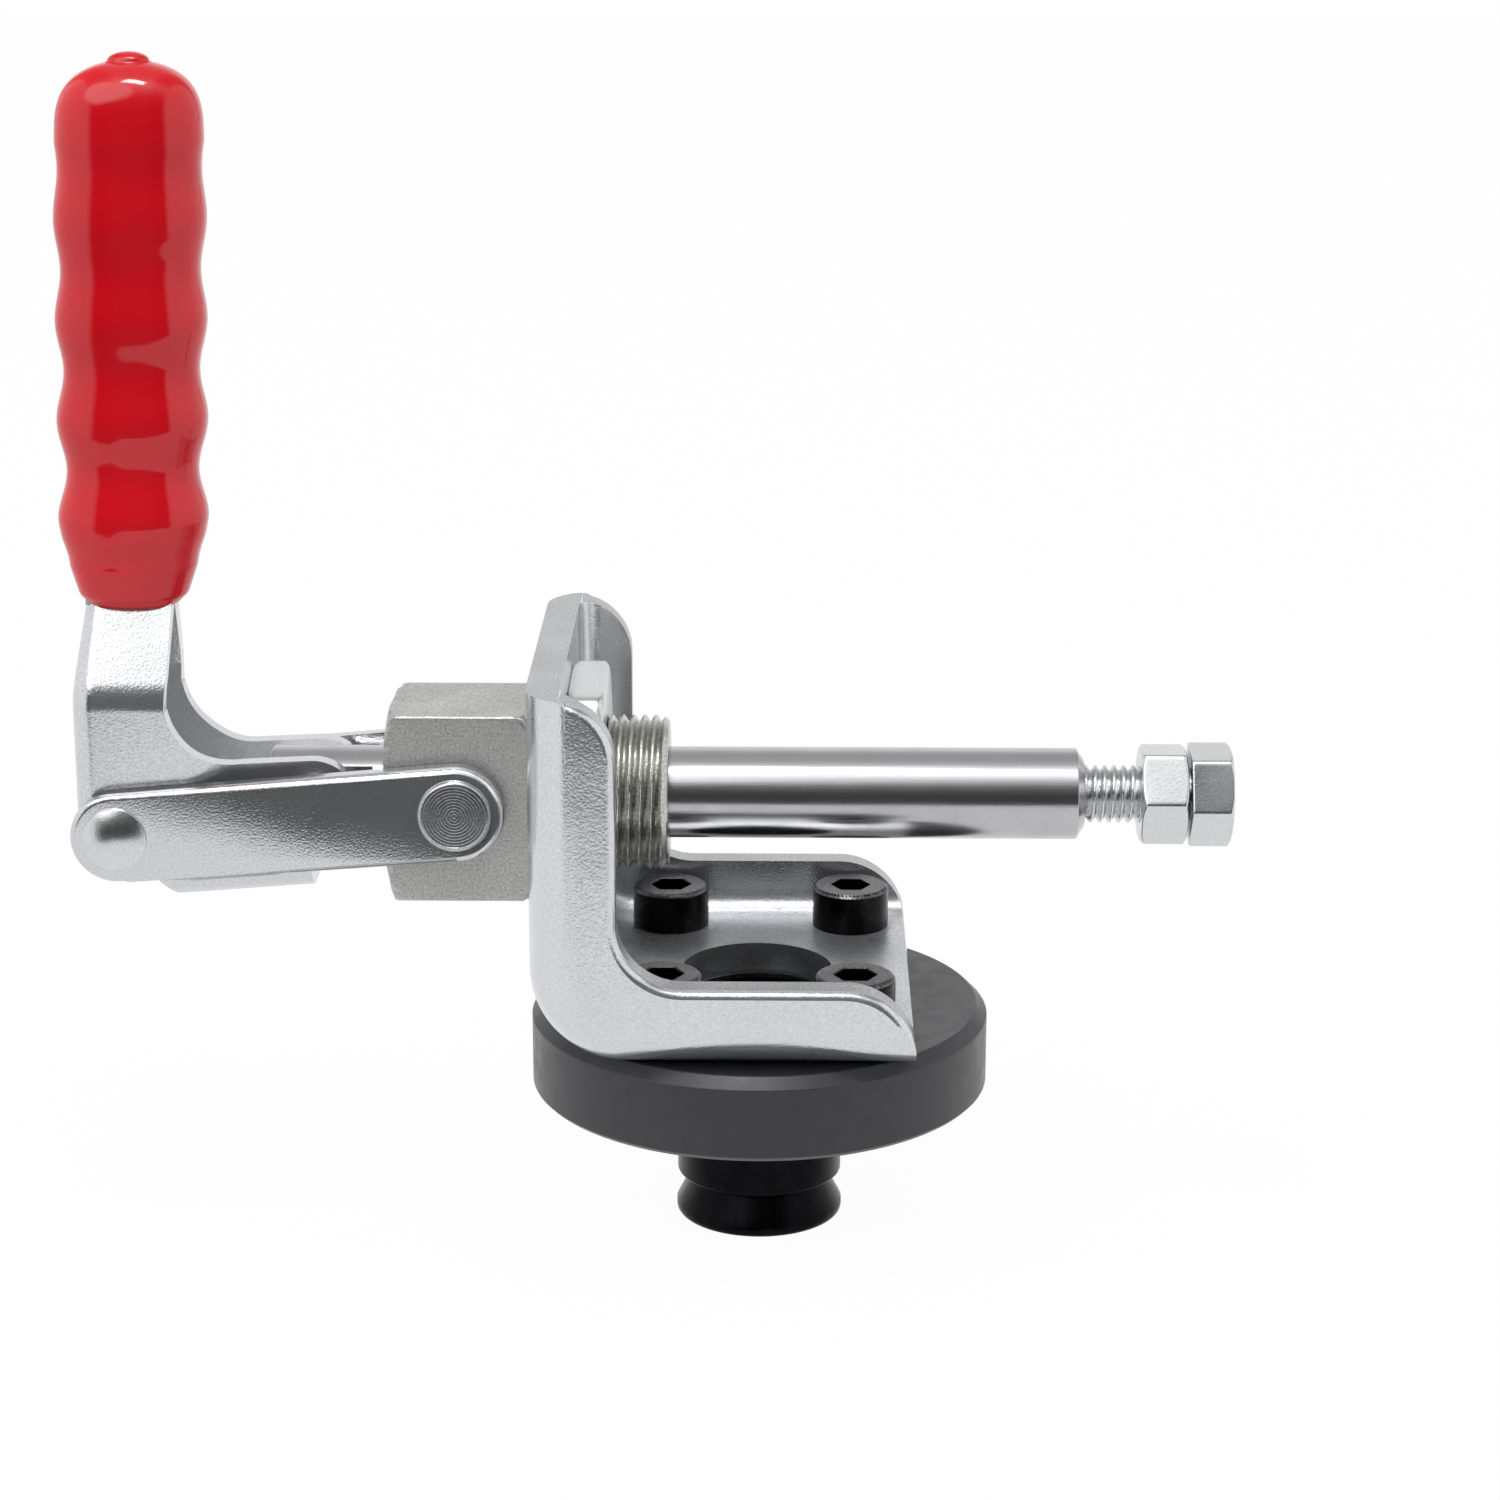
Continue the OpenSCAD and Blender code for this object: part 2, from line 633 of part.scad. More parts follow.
// Half width of the grip: finger ridges, a tapered foot and a domed top
function grip_r(z) = min(
    grip_half_w - (1.5 - 0.016 * (z - 103)) * (1 - cos(360 * (z - 96) / ridge_pitch)) / 2,
    z > 154 ? 11.7 * sqrt(max(0, 1 - pow((z - 154) / (grip_top + 0.3 - 154), 4))) : grip_half_w,
    z < 96 ? grip_half_w - 3.1 * pow((96 - z) / 12, 1.3) - 0.6 * max(0, 83.6 - z) : grip_half_w);

// Dipped vinyl grip over the lever's tang, oval in plan and leaning a little towards the bolt
module grip_solid() {
    foot_x = -101.9;
    lean = 0.035;
    ridges_z = concat(
        [for (i = [0:23]) grip_foot + i * (156 - grip_foot) / 24],
        [for (i = [0:6]) 156 + (grip_top - 156) * sin(15 * i)]);
    multmatrix([[1, 0, lean, foot_x - lean * grip_foot], [0, grip_flatness, 0, 0], [0, 0, 1, 0], [0, 0, 0, 1]])
        rotate_extrude($fn = 36) polygon(concat(
            [[0, grip_foot]],
            [for (z = ridges_z) [grip_r(z), z]],
            [[3, grip_top], [3, grip_top + 1.1], [2.4, grip_top + 1.5], [0, grip_top + 1.5]]));
}

module handle_grip() {
    color("crimson") difference() {
        grip_solid();
        across(2 * link_t + 0.4) polygon([
            [web_x + 1.6, grip_foot - 1],
            [web_x + 5.8, 158.1],
            [neck_front_x + 3.1, 158.1],
            [neck_front_x + 1.2, grip_foot - 1]]);
    }
}

base_disc();
table_spigot();
spigot_screw();
bracket();
base_screw(screw_places()[0]);  // base_screw_1
base_screw(screw_places()[1]);  // base_screw_2
base_screw(screw_places()[2]);  // base_screw_3
base_screw(screw_places()[3]);  // base_screw_4
clamp_body();
nose_nut();
plunger();
cross_pin();
clamping_bolt();
jam_nut();
link();
pivot_pin(-1);  // pivot_pin_front
pivot_pin(1);  // pivot_pin_rear
elbow_rivet();
handle_lever();
handle_grip();
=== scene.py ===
import math

import bmesh
import bpy
import numpy as np
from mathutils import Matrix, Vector


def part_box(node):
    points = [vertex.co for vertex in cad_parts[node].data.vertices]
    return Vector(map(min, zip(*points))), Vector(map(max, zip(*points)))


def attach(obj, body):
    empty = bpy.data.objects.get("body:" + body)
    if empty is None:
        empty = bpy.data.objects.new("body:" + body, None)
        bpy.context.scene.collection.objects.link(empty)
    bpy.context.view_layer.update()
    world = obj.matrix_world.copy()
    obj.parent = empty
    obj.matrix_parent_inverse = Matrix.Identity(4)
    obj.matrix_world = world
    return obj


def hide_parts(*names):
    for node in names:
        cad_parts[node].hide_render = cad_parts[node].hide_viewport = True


# Push-pull toggle clamp on a hole-table adapter: finishes, threads, grip, studio
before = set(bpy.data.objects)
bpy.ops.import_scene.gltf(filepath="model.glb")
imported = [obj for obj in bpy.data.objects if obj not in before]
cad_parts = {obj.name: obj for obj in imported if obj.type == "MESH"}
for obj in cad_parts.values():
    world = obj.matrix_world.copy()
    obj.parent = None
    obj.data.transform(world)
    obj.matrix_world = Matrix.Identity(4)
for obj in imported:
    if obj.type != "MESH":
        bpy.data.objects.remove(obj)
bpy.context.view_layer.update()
mm = 0.001
axisZ = 0.5 * sum(corner.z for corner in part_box("plunger"))   # clamping axis above the table
print("frame loaded")


# small tools

def nodeLow(node):
    return np.array(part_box(node)[0])


def nodeHigh(node):
    return np.array(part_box(node)[1])


def smoothBelow(mesh, angle):
    # smooth shading, with an edge kept sharp where its faces turn by more than the angle
    mesh.polygons.foreach_set("use_smooth", np.ones(len(mesh.polygons), bool))
    mesh.set_sharp_from_angle(angle=math.radians(angle))


def addObject(name, mesh, body, stands, material):
    piece = bpy.data.objects.new(name, mesh)
    bpy.context.scene.collection.objects.link(piece)
    mesh.materials.clear()
    mesh.materials.append(material)
    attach(piece, body)
    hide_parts(*stands)
    return piece


def gridQuads(rows, columns):
    # quads between neighbouring rows, with the last column joined to the first
    i, j = np.meshgrid(np.arange(rows - 1), np.arange(columns), indexing="ij")
    nextJ = (j + 1) % columns
    here, above = i * columns, (i + 1) * columns
    return np.stack([here + j, here + nextJ, above + nextJ, above + j], -1).reshape(-1, 4)


gridJoin = {"weld": 0.002, "sliver": 0.001}   # mm


def meshFromGrids(name, grids, smoothAngle=35.0):
    # each grid holds closed rings of points, [rows, columns, 3] in metres; grids share one mesh
    points, faces, base = [], [], 0
    for grid in grids:
        rows, columns = grid.shape[:2]
        points.append(grid.reshape(-1, 3))
        faces.append(gridQuads(rows, columns) + base)
        base += rows * columns
    mesh = bpy.data.meshes.new(name)
    mesh.from_pydata(np.concatenate(points).tolist(), [], np.concatenate(faces).tolist())
    shell = bmesh.new()
    shell.from_mesh(mesh)
    bmesh.ops.remove_doubles(shell, verts=shell.verts, dist=gridJoin["weld"] * mm)
    bmesh.ops.dissolve_degenerate(shell, edges=shell.edges, dist=gridJoin["sliver"] * mm)
    bmesh.ops.recalc_face_normals(shell, faces=shell.faces)
    shell.to_mesh(mesh)
    shell.free()
    mesh.validate()
    smoothBelow(mesh, smoothAngle)
    return mesh


def aroundX(along, radius, turn, centreZ):
    # ring points about the clamping axis: (along, radius sin turn, centreZ + radius cos turn)
    return np.stack([along + 0 * radius, radius * np.sin(turn), centreZ + radius * np.cos(turn)], -1)


# shared shader effects

def newGroup(name, inputs, outputs):
    group = bpy.data.node_groups.new(name, "ShaderNodeTree")
    for label, value in inputs.items():
        socket = group.interface.new_socket(name=label, in_out="INPUT", socket_type="NodeSocketFloat")
        socket.default_value = value
    for label, kind in outputs.items():
        group.interface.new_socket(name=label, in_out="OUTPUT", socket_type=kind)
    return group, group.nodes.new("NodeGroupInput"), group.nodes.new("NodeGroupOutput")


def mathNode(tree, operation, a, b=None):
    node = tree.nodes.new("ShaderNodeMath")
    node.operation = operation
    for socket, value in zip(node.inputs, (a, b)):
        if value is None:
            continue
        if isinstance(value, (int, float)):
            socket.default_value = value
        else:
            tree.links.new(value, socket)
    return node.outputs[0]


def noiseNode(tree, scale, detail, roughness, stretch=None):
    place = tree.nodes.new("ShaderNodeTexCoord").outputs["Object"]
    if stretch:
        mapping = tree.nodes.new("ShaderNodeMapping")
        mapping.inputs["Scale"].default_value = stretch
        tree.links.new(place, mapping.inputs["Vector"])
        place = mapping.outputs["Vector"]
    noise = tree.nodes.new("ShaderNodeTexNoise")
    noise.inputs["Detail"].default_value = detail
    noise.inputs["Roughness"].default_value = roughness
    tree.links.new(place, noise.inputs["Vector"])
    if isinstance(scale, (int, float)):
        noise.inputs["Scale"].default_value = scale
    else:
        tree.links.new(scale, noise.inputs["Scale"])
    return noise.outputs["Fac"]


platedPattern = {"dentsPerMetre": 520.0, "wavesPerMetre": 55.0}


def makePlatedGroup():
    # plated sheet: height = the sum over grain, dents and waves of (noise - 0.5) * its depth in metres
    group, inside, outside = newGroup(
        "platedSurface",
        {"Grain per metre": 2400.0, "Grain depth": 2e-5, "Dent depth": 2e-5, "Wave depth": 2e-4},
        {"Height": "NodeSocketFloat", "Speckle": "NodeSocketFloat"})
    centred = []
    for scale, detail, depth in (
            (inside.outputs["Grain per metre"], 2.0, "Grain depth"),
            (platedPattern["dentsPerMetre"], 2.0, "Dent depth"),
            (platedPattern["wavesPerMetre"], 1.0, "Wave depth")):
        noise = noiseNode(group, scale, detail, 0.5)
        offset = mathNode(group, "SUBTRACT", noise, 0.5)
        centred.append((noise, mathNode(group, "MULTIPLY", offset, inside.outputs[depth])))
    height = mathNode(group, "ADD", centred[0][1], mathNode(group, "ADD", centred[1][1], centred[2][1]))
    group.links.new(height, outside.inputs["Height"])
    group.links.new(centred[0][0], outside.inputs["Speckle"])
    return group


drawnOut = (0.04, 1.0, 1.0)   # the share of the noise's scale along X, Y and Z


def makeTurnedGroup():
    # ground surface: height = (noise drawn out along X - 0.5) * mark depth
    group, inside, outside = newGroup(
        "toolMarks", {"Marks per metre": 3000.0, "Mark depth": 2e-6}, {"Height": "NodeSocketFloat"})
    noise = noiseNode(group, inside.outputs["Marks per metre"], 2.0, 0.6, drawnOut)
    offset = mathNode(group, "SUBTRACT", noise, 0.5)
    group.links.new(mathNode(group, "MULTIPLY", offset, inside.outputs["Mark depth"]), outside.inputs["Height"])
    return group


def makeCrownGroup():
    # stamped sheet, crowned and a little twisted: with u along the piece from its pivot and v across it,
    # height = -(start lean + (end lean - start lean) * u / length) * v - crown * v^2 / 2, on both faces
    group, inside, outside = newGroup(
        "sheetCrown",
        {"Pivot X": 0.0, "Pivot Z": 0.0, "Along X": 1.0, "Along Z": 0.0, "Length": 0.05,
         "Start lean": 0.0, "End lean": 0.0, "Crown per metre": 0.0},
        {"Height": "NodeSocketFloat"})
    split = group.nodes.new("ShaderNodeSeparateXYZ")
    group.links.new(group.nodes.new("ShaderNodeTexCoord").outputs["Object"], split.inputs[0])
    x = mathNode(group, "SUBTRACT", split.outputs["X"], inside.outputs["Pivot X"])
    z = mathNode(group, "SUBTRACT", split.outputs["Z"], inside.outputs["Pivot Z"])
    alongX, alongZ = inside.outputs["Along X"], inside.outputs["Along Z"]
    u = mathNode(group, "ADD", mathNode(group, "MULTIPLY", x, alongX), mathNode(group, "MULTIPLY", z, alongZ))
    rise, run = mathNode(group, "MULTIPLY", z, alongX), mathNode(group, "MULTIPLY", x, alongZ)
    v = mathNode(group, "SUBTRACT", rise, run)
    share = mathNode(group, "DIVIDE", u, inside.outputs["Length"])
    change = mathNode(group, "SUBTRACT", inside.outputs["End lean"], inside.outputs["Start lean"])
    lean = mathNode(group, "ADD", inside.outputs["Start lean"], mathNode(group, "MULTIPLY", share, change))
    bow = mathNode(group, "MULTIPLY", mathNode(group, "MULTIPLY", v, inside.outputs["Crown per metre"]), 0.5)
    drop = mathNode(group, "MULTIPLY", mathNode(group, "ADD", lean, bow), v)
    group.links.new(mathNode(group, "MULTIPLY", drop, -1.0), outside.inputs["Height"])
    return group


platedSurface = makePlatedGroup()
toolMarks = makeTurnedGroup()
sheetCrown = makeCrownGroup()


def newMaterial(name, baseColor, metallic, roughness):
    material = bpy.data.materials.new(name)
    material.use_nodes = True
    tree = material.node_tree
    shader = tree.nodes["Principled BSDF"]
    shader.inputs["Base Color"].default_value = (*baseColor, 1.0)
    shader.inputs["Metallic"].default_value = metallic
    shader.inputs["Roughness"].default_value = roughness
    return material, tree, shader


def useGroup(tree, group, values):
    node = tree.nodes.new("ShaderNodeGroup")
    node.node_tree = group
    for label, value in values.items():
        node.inputs[label].default_value = value
    return node


def bumpFrom(tree, shader, height):
    bump = tree.nodes.new("ShaderNodeBump")
    bump.inputs["Distance"].default_value = 1.0
    bump.inputs["Strength"].default_value = 1.0
    tree.links.new(height, bump.inputs["Height"])
    tree.links.new(bump.outputs["Normal"], shader.inputs["Normal"])


def rampBetween(tree, factor, low, high, lowValue, highValue):
    span = tree.nodes.new("ShaderNodeMapRange")
    span.inputs["From Min"].default_value = low
    span.inputs["From Max"].default_value = high
    span.inputs["To Min"].default_value = lowValue
    span.inputs["To Max"].default_value = highValue
    tree.links.new(factor, span.inputs["Value"])
    return span.outputs["Result"]


def mixColours(tree, factor, first, second):
    mix = tree.nodes.new("ShaderNodeMix")
    mix.data_type = "RGBA"
    mix.inputs["A"].default_value = (*first, 1.0)
    mix.inputs["B"].default_value = (*second, 1.0)
    tree.links.new(factor, mix.inputs["Factor"])
    return mix.outputs["Result"]


finishSpread = {"low": 0.3, "high": 0.7, "patchesPerMetre": 90.0, "smoothest": 0.8, "roughest": 1.25}


def platedMaterial(name, look):
    material, tree, shader = newMaterial(name, look["colour"], look["metallic"], look["roughness"])
    surface = useGroup(tree, platedSurface, look["surface"])
    height = surface.outputs["Height"]
    if "crown" in look:
        height = mathNode(tree, "ADD", height, useGroup(tree, sheetCrown, look["crown"]).outputs["Height"])
    bumpFrom(tree, shader, height)
    spread = finishSpread
    speckle = rampBetween(tree, surface.outputs["Speckle"], spread["low"], spread["high"], 0.0, 1.0)
    tree.links.new(mixColours(tree, speckle, look["darkSpeck"], look["colour"]), shader.inputs["Base Color"])
    patches = noiseNode(tree, spread["patchesPerMetre"], 3.0, 0.6)
    rough = rampBetween(tree, patches, spread["low"], spread["high"],
                        look["roughness"] * spread["smoothest"], look["roughness"] * spread["roughest"])
    tree.links.new(rough, shader.inputs["Roughness"])
    return material


def paintShadeInCentre(tree, shader, centre, colour, rough):
    # painted shade: inside this radius about the piece's own upright axis, where the disc's top lies in shadow
    # under the bracket's hole, the colour turns near black and the surface metallic and rougher
    flat = tree.nodes.new("ShaderNodeVectorMath")
    flat.operation = "MULTIPLY"
    flat.inputs[1].default_value = (1.0, 1.0, 0.0)
    tree.links.new(tree.nodes.new("ShaderNodeTexCoord").outputs["Object"], flat.inputs[0])
    reach = tree.nodes.new("ShaderNodeVectorMath")
    reach.operation = "LENGTH"
    tree.links.new(flat.outputs["Vector"], reach.inputs[0])
    edge = centre["radius"] * mm
    outside = rampBetween(tree, reach.outputs["Value"], edge, edge + centre["fade"] * mm, 0.0, 1.0)
    shade = tree.nodes.new("ShaderNodeMix")
    shade.data_type = "RGBA"
    shade.inputs["A"].default_value = (*centre["colour"], 1.0)
    tree.links.new(outside, shade.inputs["Factor"])
    tree.links.new(colour, shade.inputs["B"])
    tree.links.new(mathNode(tree, "SUBTRACT", 1.0, outside), shader.inputs["Metallic"])
    dull = mathNode(tree, "SUBTRACT", centre["roughness"], outside)
    return shade.outputs["Result"], mathNode(tree, "MAXIMUM", rough, dull)


wearSpread = {"low": 0.35, "high": 0.75, "roughLow": 0.3, "roughHigh": 0.7,
              "smoothest": 0.85, "roughest": 1.2}


def turnedMaterial(name, look):
    material, tree, shader = newMaterial(name, look["colour"], look["metallic"], look["roughness"])
    marks = useGroup(tree, toolMarks, look["marks"])
    bumpFrom(tree, shader, marks.outputs["Height"])
    wear = noiseNode(tree, look["wearScale"], 4.0, 0.6)
    spread = wearSpread
    worn = rampBetween(tree, wear, spread["low"], spread["high"], 0.0, 1.0)
    colour = mixColours(tree, worn, look["colour"], look["wearColour"])
    rough = rampBetween(tree, wear, spread["roughLow"], spread["roughHigh"],
                        look["roughness"] * spread["smoothest"], look["roughness"] * spread["roughest"])
    # painted shade at the middle of the disc's top
    if "centre" in look:
        colour, rough = paintShadeInCentre(tree, shader, look["centre"], colour, rough)
    tree.links.new(colour, shader.inputs["Base Color"])
    tree.links.new(rough, shader.inputs["Roughness"])
    return material


# materials

elbow = 0.5 * (nodeLow("elbow_rivet") + nodeHigh("elbow_rivet"))
pivot = 0.5 * (nodeLow("pivot_pin_front") + nodeHigh("pivot_pin_front"))
linkReach = math.hypot(pivot[0] - elbow[0], pivot[2] - elbow[2])
bracketZinc = platedMaterial("bracketZinc", {
    "colour": (0.69, 0.70, 0.72), "darkSpeck": (0.59, 0.60, 0.62), "metallic": 0.85, "roughness": 0.145,
    "surface": {"Grain per metre": 2700.0, "Grain depth": 3.6e-5, "Dent depth": 1.2e-5, "Wave depth": 3e-4}})
# painted light: a retoned copy of the bracket's zinc, with less mirror, more roughness and a darker speckle, for
# the faces inside the channel and the seat
channelPaintedLightZinc = platedMaterial("channelPaintedLightZinc", {
    "colour": (0.68, 0.69, 0.71), "darkSpeck": (0.42, 0.43, 0.45), "metallic": 0.70, "roughness": 0.3,
    "surface": {"Grain per metre": 2700.0, "Grain depth": 3e-5, "Dent depth": 3e-5, "Wave depth": 3e-4}})
# painted light: a paler, nearly non-metal copy of the lever's zinc that lights up the faces inside the lever's
# channel
leverPaintedLightZinc = platedMaterial("leverPaintedLightZinc", {
    "colour": (0.76, 0.77, 0.79), "darkSpeck": (0.60, 0.61, 0.63), "metallic": 0.1, "roughness": 0.3,
    "surface": {"Grain per metre": 2700.0, "Grain depth": 3e-5, "Dent depth": 1e-5, "Wave depth": 2e-4}})
cutEdgeZinc = platedMaterial("cutEdgeZinc", {
    "colour": (0.56, 0.57, 0.58), "darkSpeck": (0.30, 0.30, 0.31), "metallic": 0.9, "roughness": 0.3,
    "surface": {"Grain per metre": 2600.0, "Grain depth": 3e-5, "Dent depth": 3e-5, "Wave depth": 0.0}})
linkZinc = platedMaterial("linkZinc", {
    "colour": (0.66, 0.67, 0.69), "darkSpeck": (0.54, 0.55, 0.57), "metallic": 0.92, "roughness": 0.14,
    "surface": {"Grain per metre": 2700.0, "Grain depth": 3.4e-5, "Dent depth": 1e-5, "Wave depth": 2e-4},
    "crown": {"Pivot X": float(elbow[0]), "Pivot Z": float(elbow[2]), "Length": linkReach,
              "Along X": float(pivot[0] - elbow[0]) / linkReach,
              "Along Z": float(pivot[2] - elbow[2]) / linkReach,
              "Start lean": -0.07, "End lean": 0.185, "Crown per metre": 12.0}})
leverZinc = platedMaterial("leverZinc", {
    "colour": (0.67, 0.68, 0.70), "darkSpeck": (0.55, 0.56, 0.58), "metallic": 0.88, "roughness": 0.15,
    "surface": {"Grain per metre": 2700.0, "Grain depth": 3e-5, "Dent depth": 1e-5, "Wave depth": 2e-4},
    "crown": {"Pivot X": float(elbow[0]), "Pivot Z": 0.066, "Start lean": -0.055, "End lean": -0.055}})
pinZinc = platedMaterial("pinZinc", {
    "colour": (0.50, 0.51, 0.52), "darkSpeck": (0.36, 0.37, 0.38), "metallic": 1.0, "roughness": 0.24,
    "surface": {"Grain per metre": 3000.0, "Grain depth": 1e-5, "Dent depth": 1e-5, "Wave depth": 0.0},
    "crown": {"Pivot X": float(pivot[0]), "Pivot Z": float(pivot[2]), "Start lean": 0.07, "End lean": 0.07}})
zincHardware = platedMaterial("zincHardware", {
    "colour": (0.69, 0.70, 0.71), "darkSpeck": (0.58, 0.59, 0.60), "metallic": 1.0, "roughness": 0.24,
    "surface": {"Grain per metre": 3000.0, "Grain depth": 1.6e-5, "Dent depth": 1e-5, "Wave depth": 0.0}})
noseThreadZinc = platedMaterial("noseThreadZinc", {
    "colour": (0.62, 0.62, 0.60), "darkSpeck": (0.38, 0.38, 0.34), "metallic": 1.0, "roughness": 0.25,
    "surface": {"Grain per metre": 2600.0, "Grain depth": 1e-5, "Dent depth": 1e-5, "Wave depth": 0.0}})
mattBlock = platedMaterial("mattBlock", {
    "colour": (0.63, 0.635, 0.62), "darkSpeck": (0.38, 0.385, 0.37), "metallic": 0.9, "roughness": 0.45,
    "surface": {"Grain per metre": 2600.0, "Grain depth": 4e-5, "Dent depth": 2e-5, "Wave depth": 1e-4}})
groundPlunger = turnedMaterial("groundPlunger", {
    "colour": (0.49, 0.49, 0.505), "wearColour": (0.44, 0.435, 0.45), "wearScale": 160.0,
    "metallic": 1.0, "roughness": 0.19,
    "marks": {"Marks per metre": 2500.0, "Mark depth": 1e-5}})
blackDisc = turnedMaterial("blackDisc", {
    "colour": (0.019, 0.0195, 0.023), "wearColour": (0.026, 0.0265, 0.031), "wearScale": 300.0,
    "metallic": 0.0, "roughness": 0.36,
    # centre: painted shade, the disc's top under the bracket's hole made near black
    "centre": {"radius": 12.4, "fade": 0.3, "colour": (0.002, 0.002, 0.002), "roughness": 0.7},
    "marks": {"Marks per metre": 1800.0, "Mark depth": 4e-6}})
# darker than the disc's black: partly the spigot's own black finish, partly painted shade under the disc
blackSpigotPaintedShade = turnedMaterial("blackSpigotPaintedShade", {
    "colour": (0.005, 0.005, 0.006), "wearColour": (0.009, 0.009, 0.010), "wearScale": 300.0,
    "metallic": 1.0, "roughness": 0.3,
    "marks": {"Marks per metre": 1800.0, "Mark depth": 3e-6}})
blackScrew = platedMaterial("blackScrew", {
    "colour": (0.018, 0.018, 0.019), "darkSpeck": (0.009, 0.009, 0.010), "metallic": 1.0, "roughness": 0.28,
    "surface": {"Grain per metre": 1800.0, "Grain depth": 2e-5, "Dent depth": 1e-5, "Wave depth": 0.0}})
# the lighter top of a black screw: partly wear, partly a painted sheen
wornAndSheenScrew = platedMaterial("wornAndSheenScrew", {
    "colour": (0.18, 0.18, 0.19), "darkSpeck": (0.06, 0.06, 0.065), "metallic": 1.0, "roughness": 0.36,
    "surface": {"Grain per metre": 2200.0, "Grain depth": 2e-5, "Dent depth": 1e-5, "Wave depth": 0.0}})

vinylLook = {
    "plain": (0.60, 0.006, 0.014), "deep": (0.56, 0.004, 0.011), "bright": (0.63, 0.007, 0.015),
    "patchesPerMetre": 45.0, "roughness": 0.09, "ior": 1.5,
    "wavesPerMetre": 60.0, "waveDepth": 1.5e-4, "grainPerMetre": 900.0, "grainDepth": 3e-6}


def makeVinyl():
    # dipped vinyl: height = (slow noise - 0.5) * wave depth + (fine noise - 0.5) * grain depth
    look = vinylLook
    material, tree, shader = newMaterial("redVinyl", look["plain"], 0.0, look["roughness"])
    slow = mathNode(tree, "SUBTRACT", noiseNode(tree, look["wavesPerMetre"], 1.0, 0.4), 0.5)
    fine = mathNode(tree, "SUBTRACT", noiseNode(tree, look["grainPerMetre"], 2.0, 0.5), 0.5)
    waves = mathNode(tree, "MULTIPLY", slow, look["waveDepth"])
    grain = mathNode(tree, "MULTIPLY", fine, look["grainDepth"])
    bumpFrom(tree, shader, mathNode(tree, "ADD", waves, grain))
    patches = noiseNode(tree, look["patchesPerMetre"], 2.0, 0.5)
    tint = rampBetween(tree, patches, finishSpread["low"], finishSpread["high"], 0.0, 1.0)
    tree.links.new(mixColours(tree, tint, look["deep"], look["bright"]), shader.inputs["Base Color"])
    shader.inputs["IOR"].default_value = look["ior"]
    return material


redVinyl = makeVinyl()
print("materials made")


# rigid pieces finished from their CAD nodes

def faceTables(mesh):
    count = len(mesh.polygons)
    normal, centre, area = np.empty(3 * count), np.empty(3 * count), np.empty(count)
    mesh.polygons.foreach_get("normal", normal)
    mesh.polygons.foreach_get("center", centre)
    mesh.polygons.foreach_get("area", area)
    return normal.reshape(-1, 3), centre.reshape(-1, 3), area


channelFaces = {"leastTurn": 0.3, "leastOut": 0.6}   # parts of a normal, and of the way out to the sheet


def innerFaces(mesh, inner):
    # faces that look in to the channel: they lie inside the sheet's inner faces and turn towards its middle
    normal, centre = faceTables(mesh)[:2]
    inwards = -normal[:, 1] * np.sign(centre[:, 1]) > channelFaces["leastTurn"]
    out = np.abs(centre[:, 1])
    return (out < inner) & (out > channelFaces["leastOut"] * inner) & inwards


rimLook = {
    "sheet": 5.2, "round": 1.2, "segments": 4,            # mm in from the outer faces, and round each cut edge
    "seatTop": 22, "insideFrom": 19.2, "insideTo": 33,    # heights in mm of the seat and of the inside faces given painted light
    "edgeBand": 0.3, "endBand": 0.1, "leastArea": 0.5,    # mm to its box, and the smallest cut edge in square mm
    "sideways": 0.5, "outward": 0.3, "endOutward": 0.6}   # parts of a face's normal


def sheetRims(mesh, high, inner):
    # faces of the flanges' cut edges: outside the inner faces, square to the flange, looking up or forward
    normal, centre, area = faceTables(mesh)
    outward = (normal[:, 0] + normal[:, 2]) / math.sqrt(2)
    square = np.abs(normal[:, 1]) < rimLook["sideways"]
    rim = (np.abs(centre[:, 1]) > inner) & square & (outward > rimLook["outward"])
    band = rimLook["endBand"] * mm
    ends = (centre[:, 0] > high[0] - band) | (centre[:, 2] > high[2] - band)
    return (rim | (ends & (outward > rimLook["endOutward"]))) & (area > rimLook["leastArea"] * mm * mm)


def weightedRound(piece, name, edges, width, segments):
    # a round on the marked edges alone
    weights = piece.data.attributes.new("bevel_weight_edge", "FLOAT", "EDGE")
    weights.data.foreach_set("value", np.array(edges, float))
    rounding = piece.modifiers.new(name, "BEVEL")
    rounding.width = width * mm
    rounding.segments = segments
    rounding.limit_method = "WEIGHT"
    rounding.use_clamp_overlap = False
    return rounding


def evenShading(piece):
    shading = piece.modifiers.new("evenShading", "WEIGHTED_NORMAL")
    shading.keep_sharp = True
    shading.weight = 80


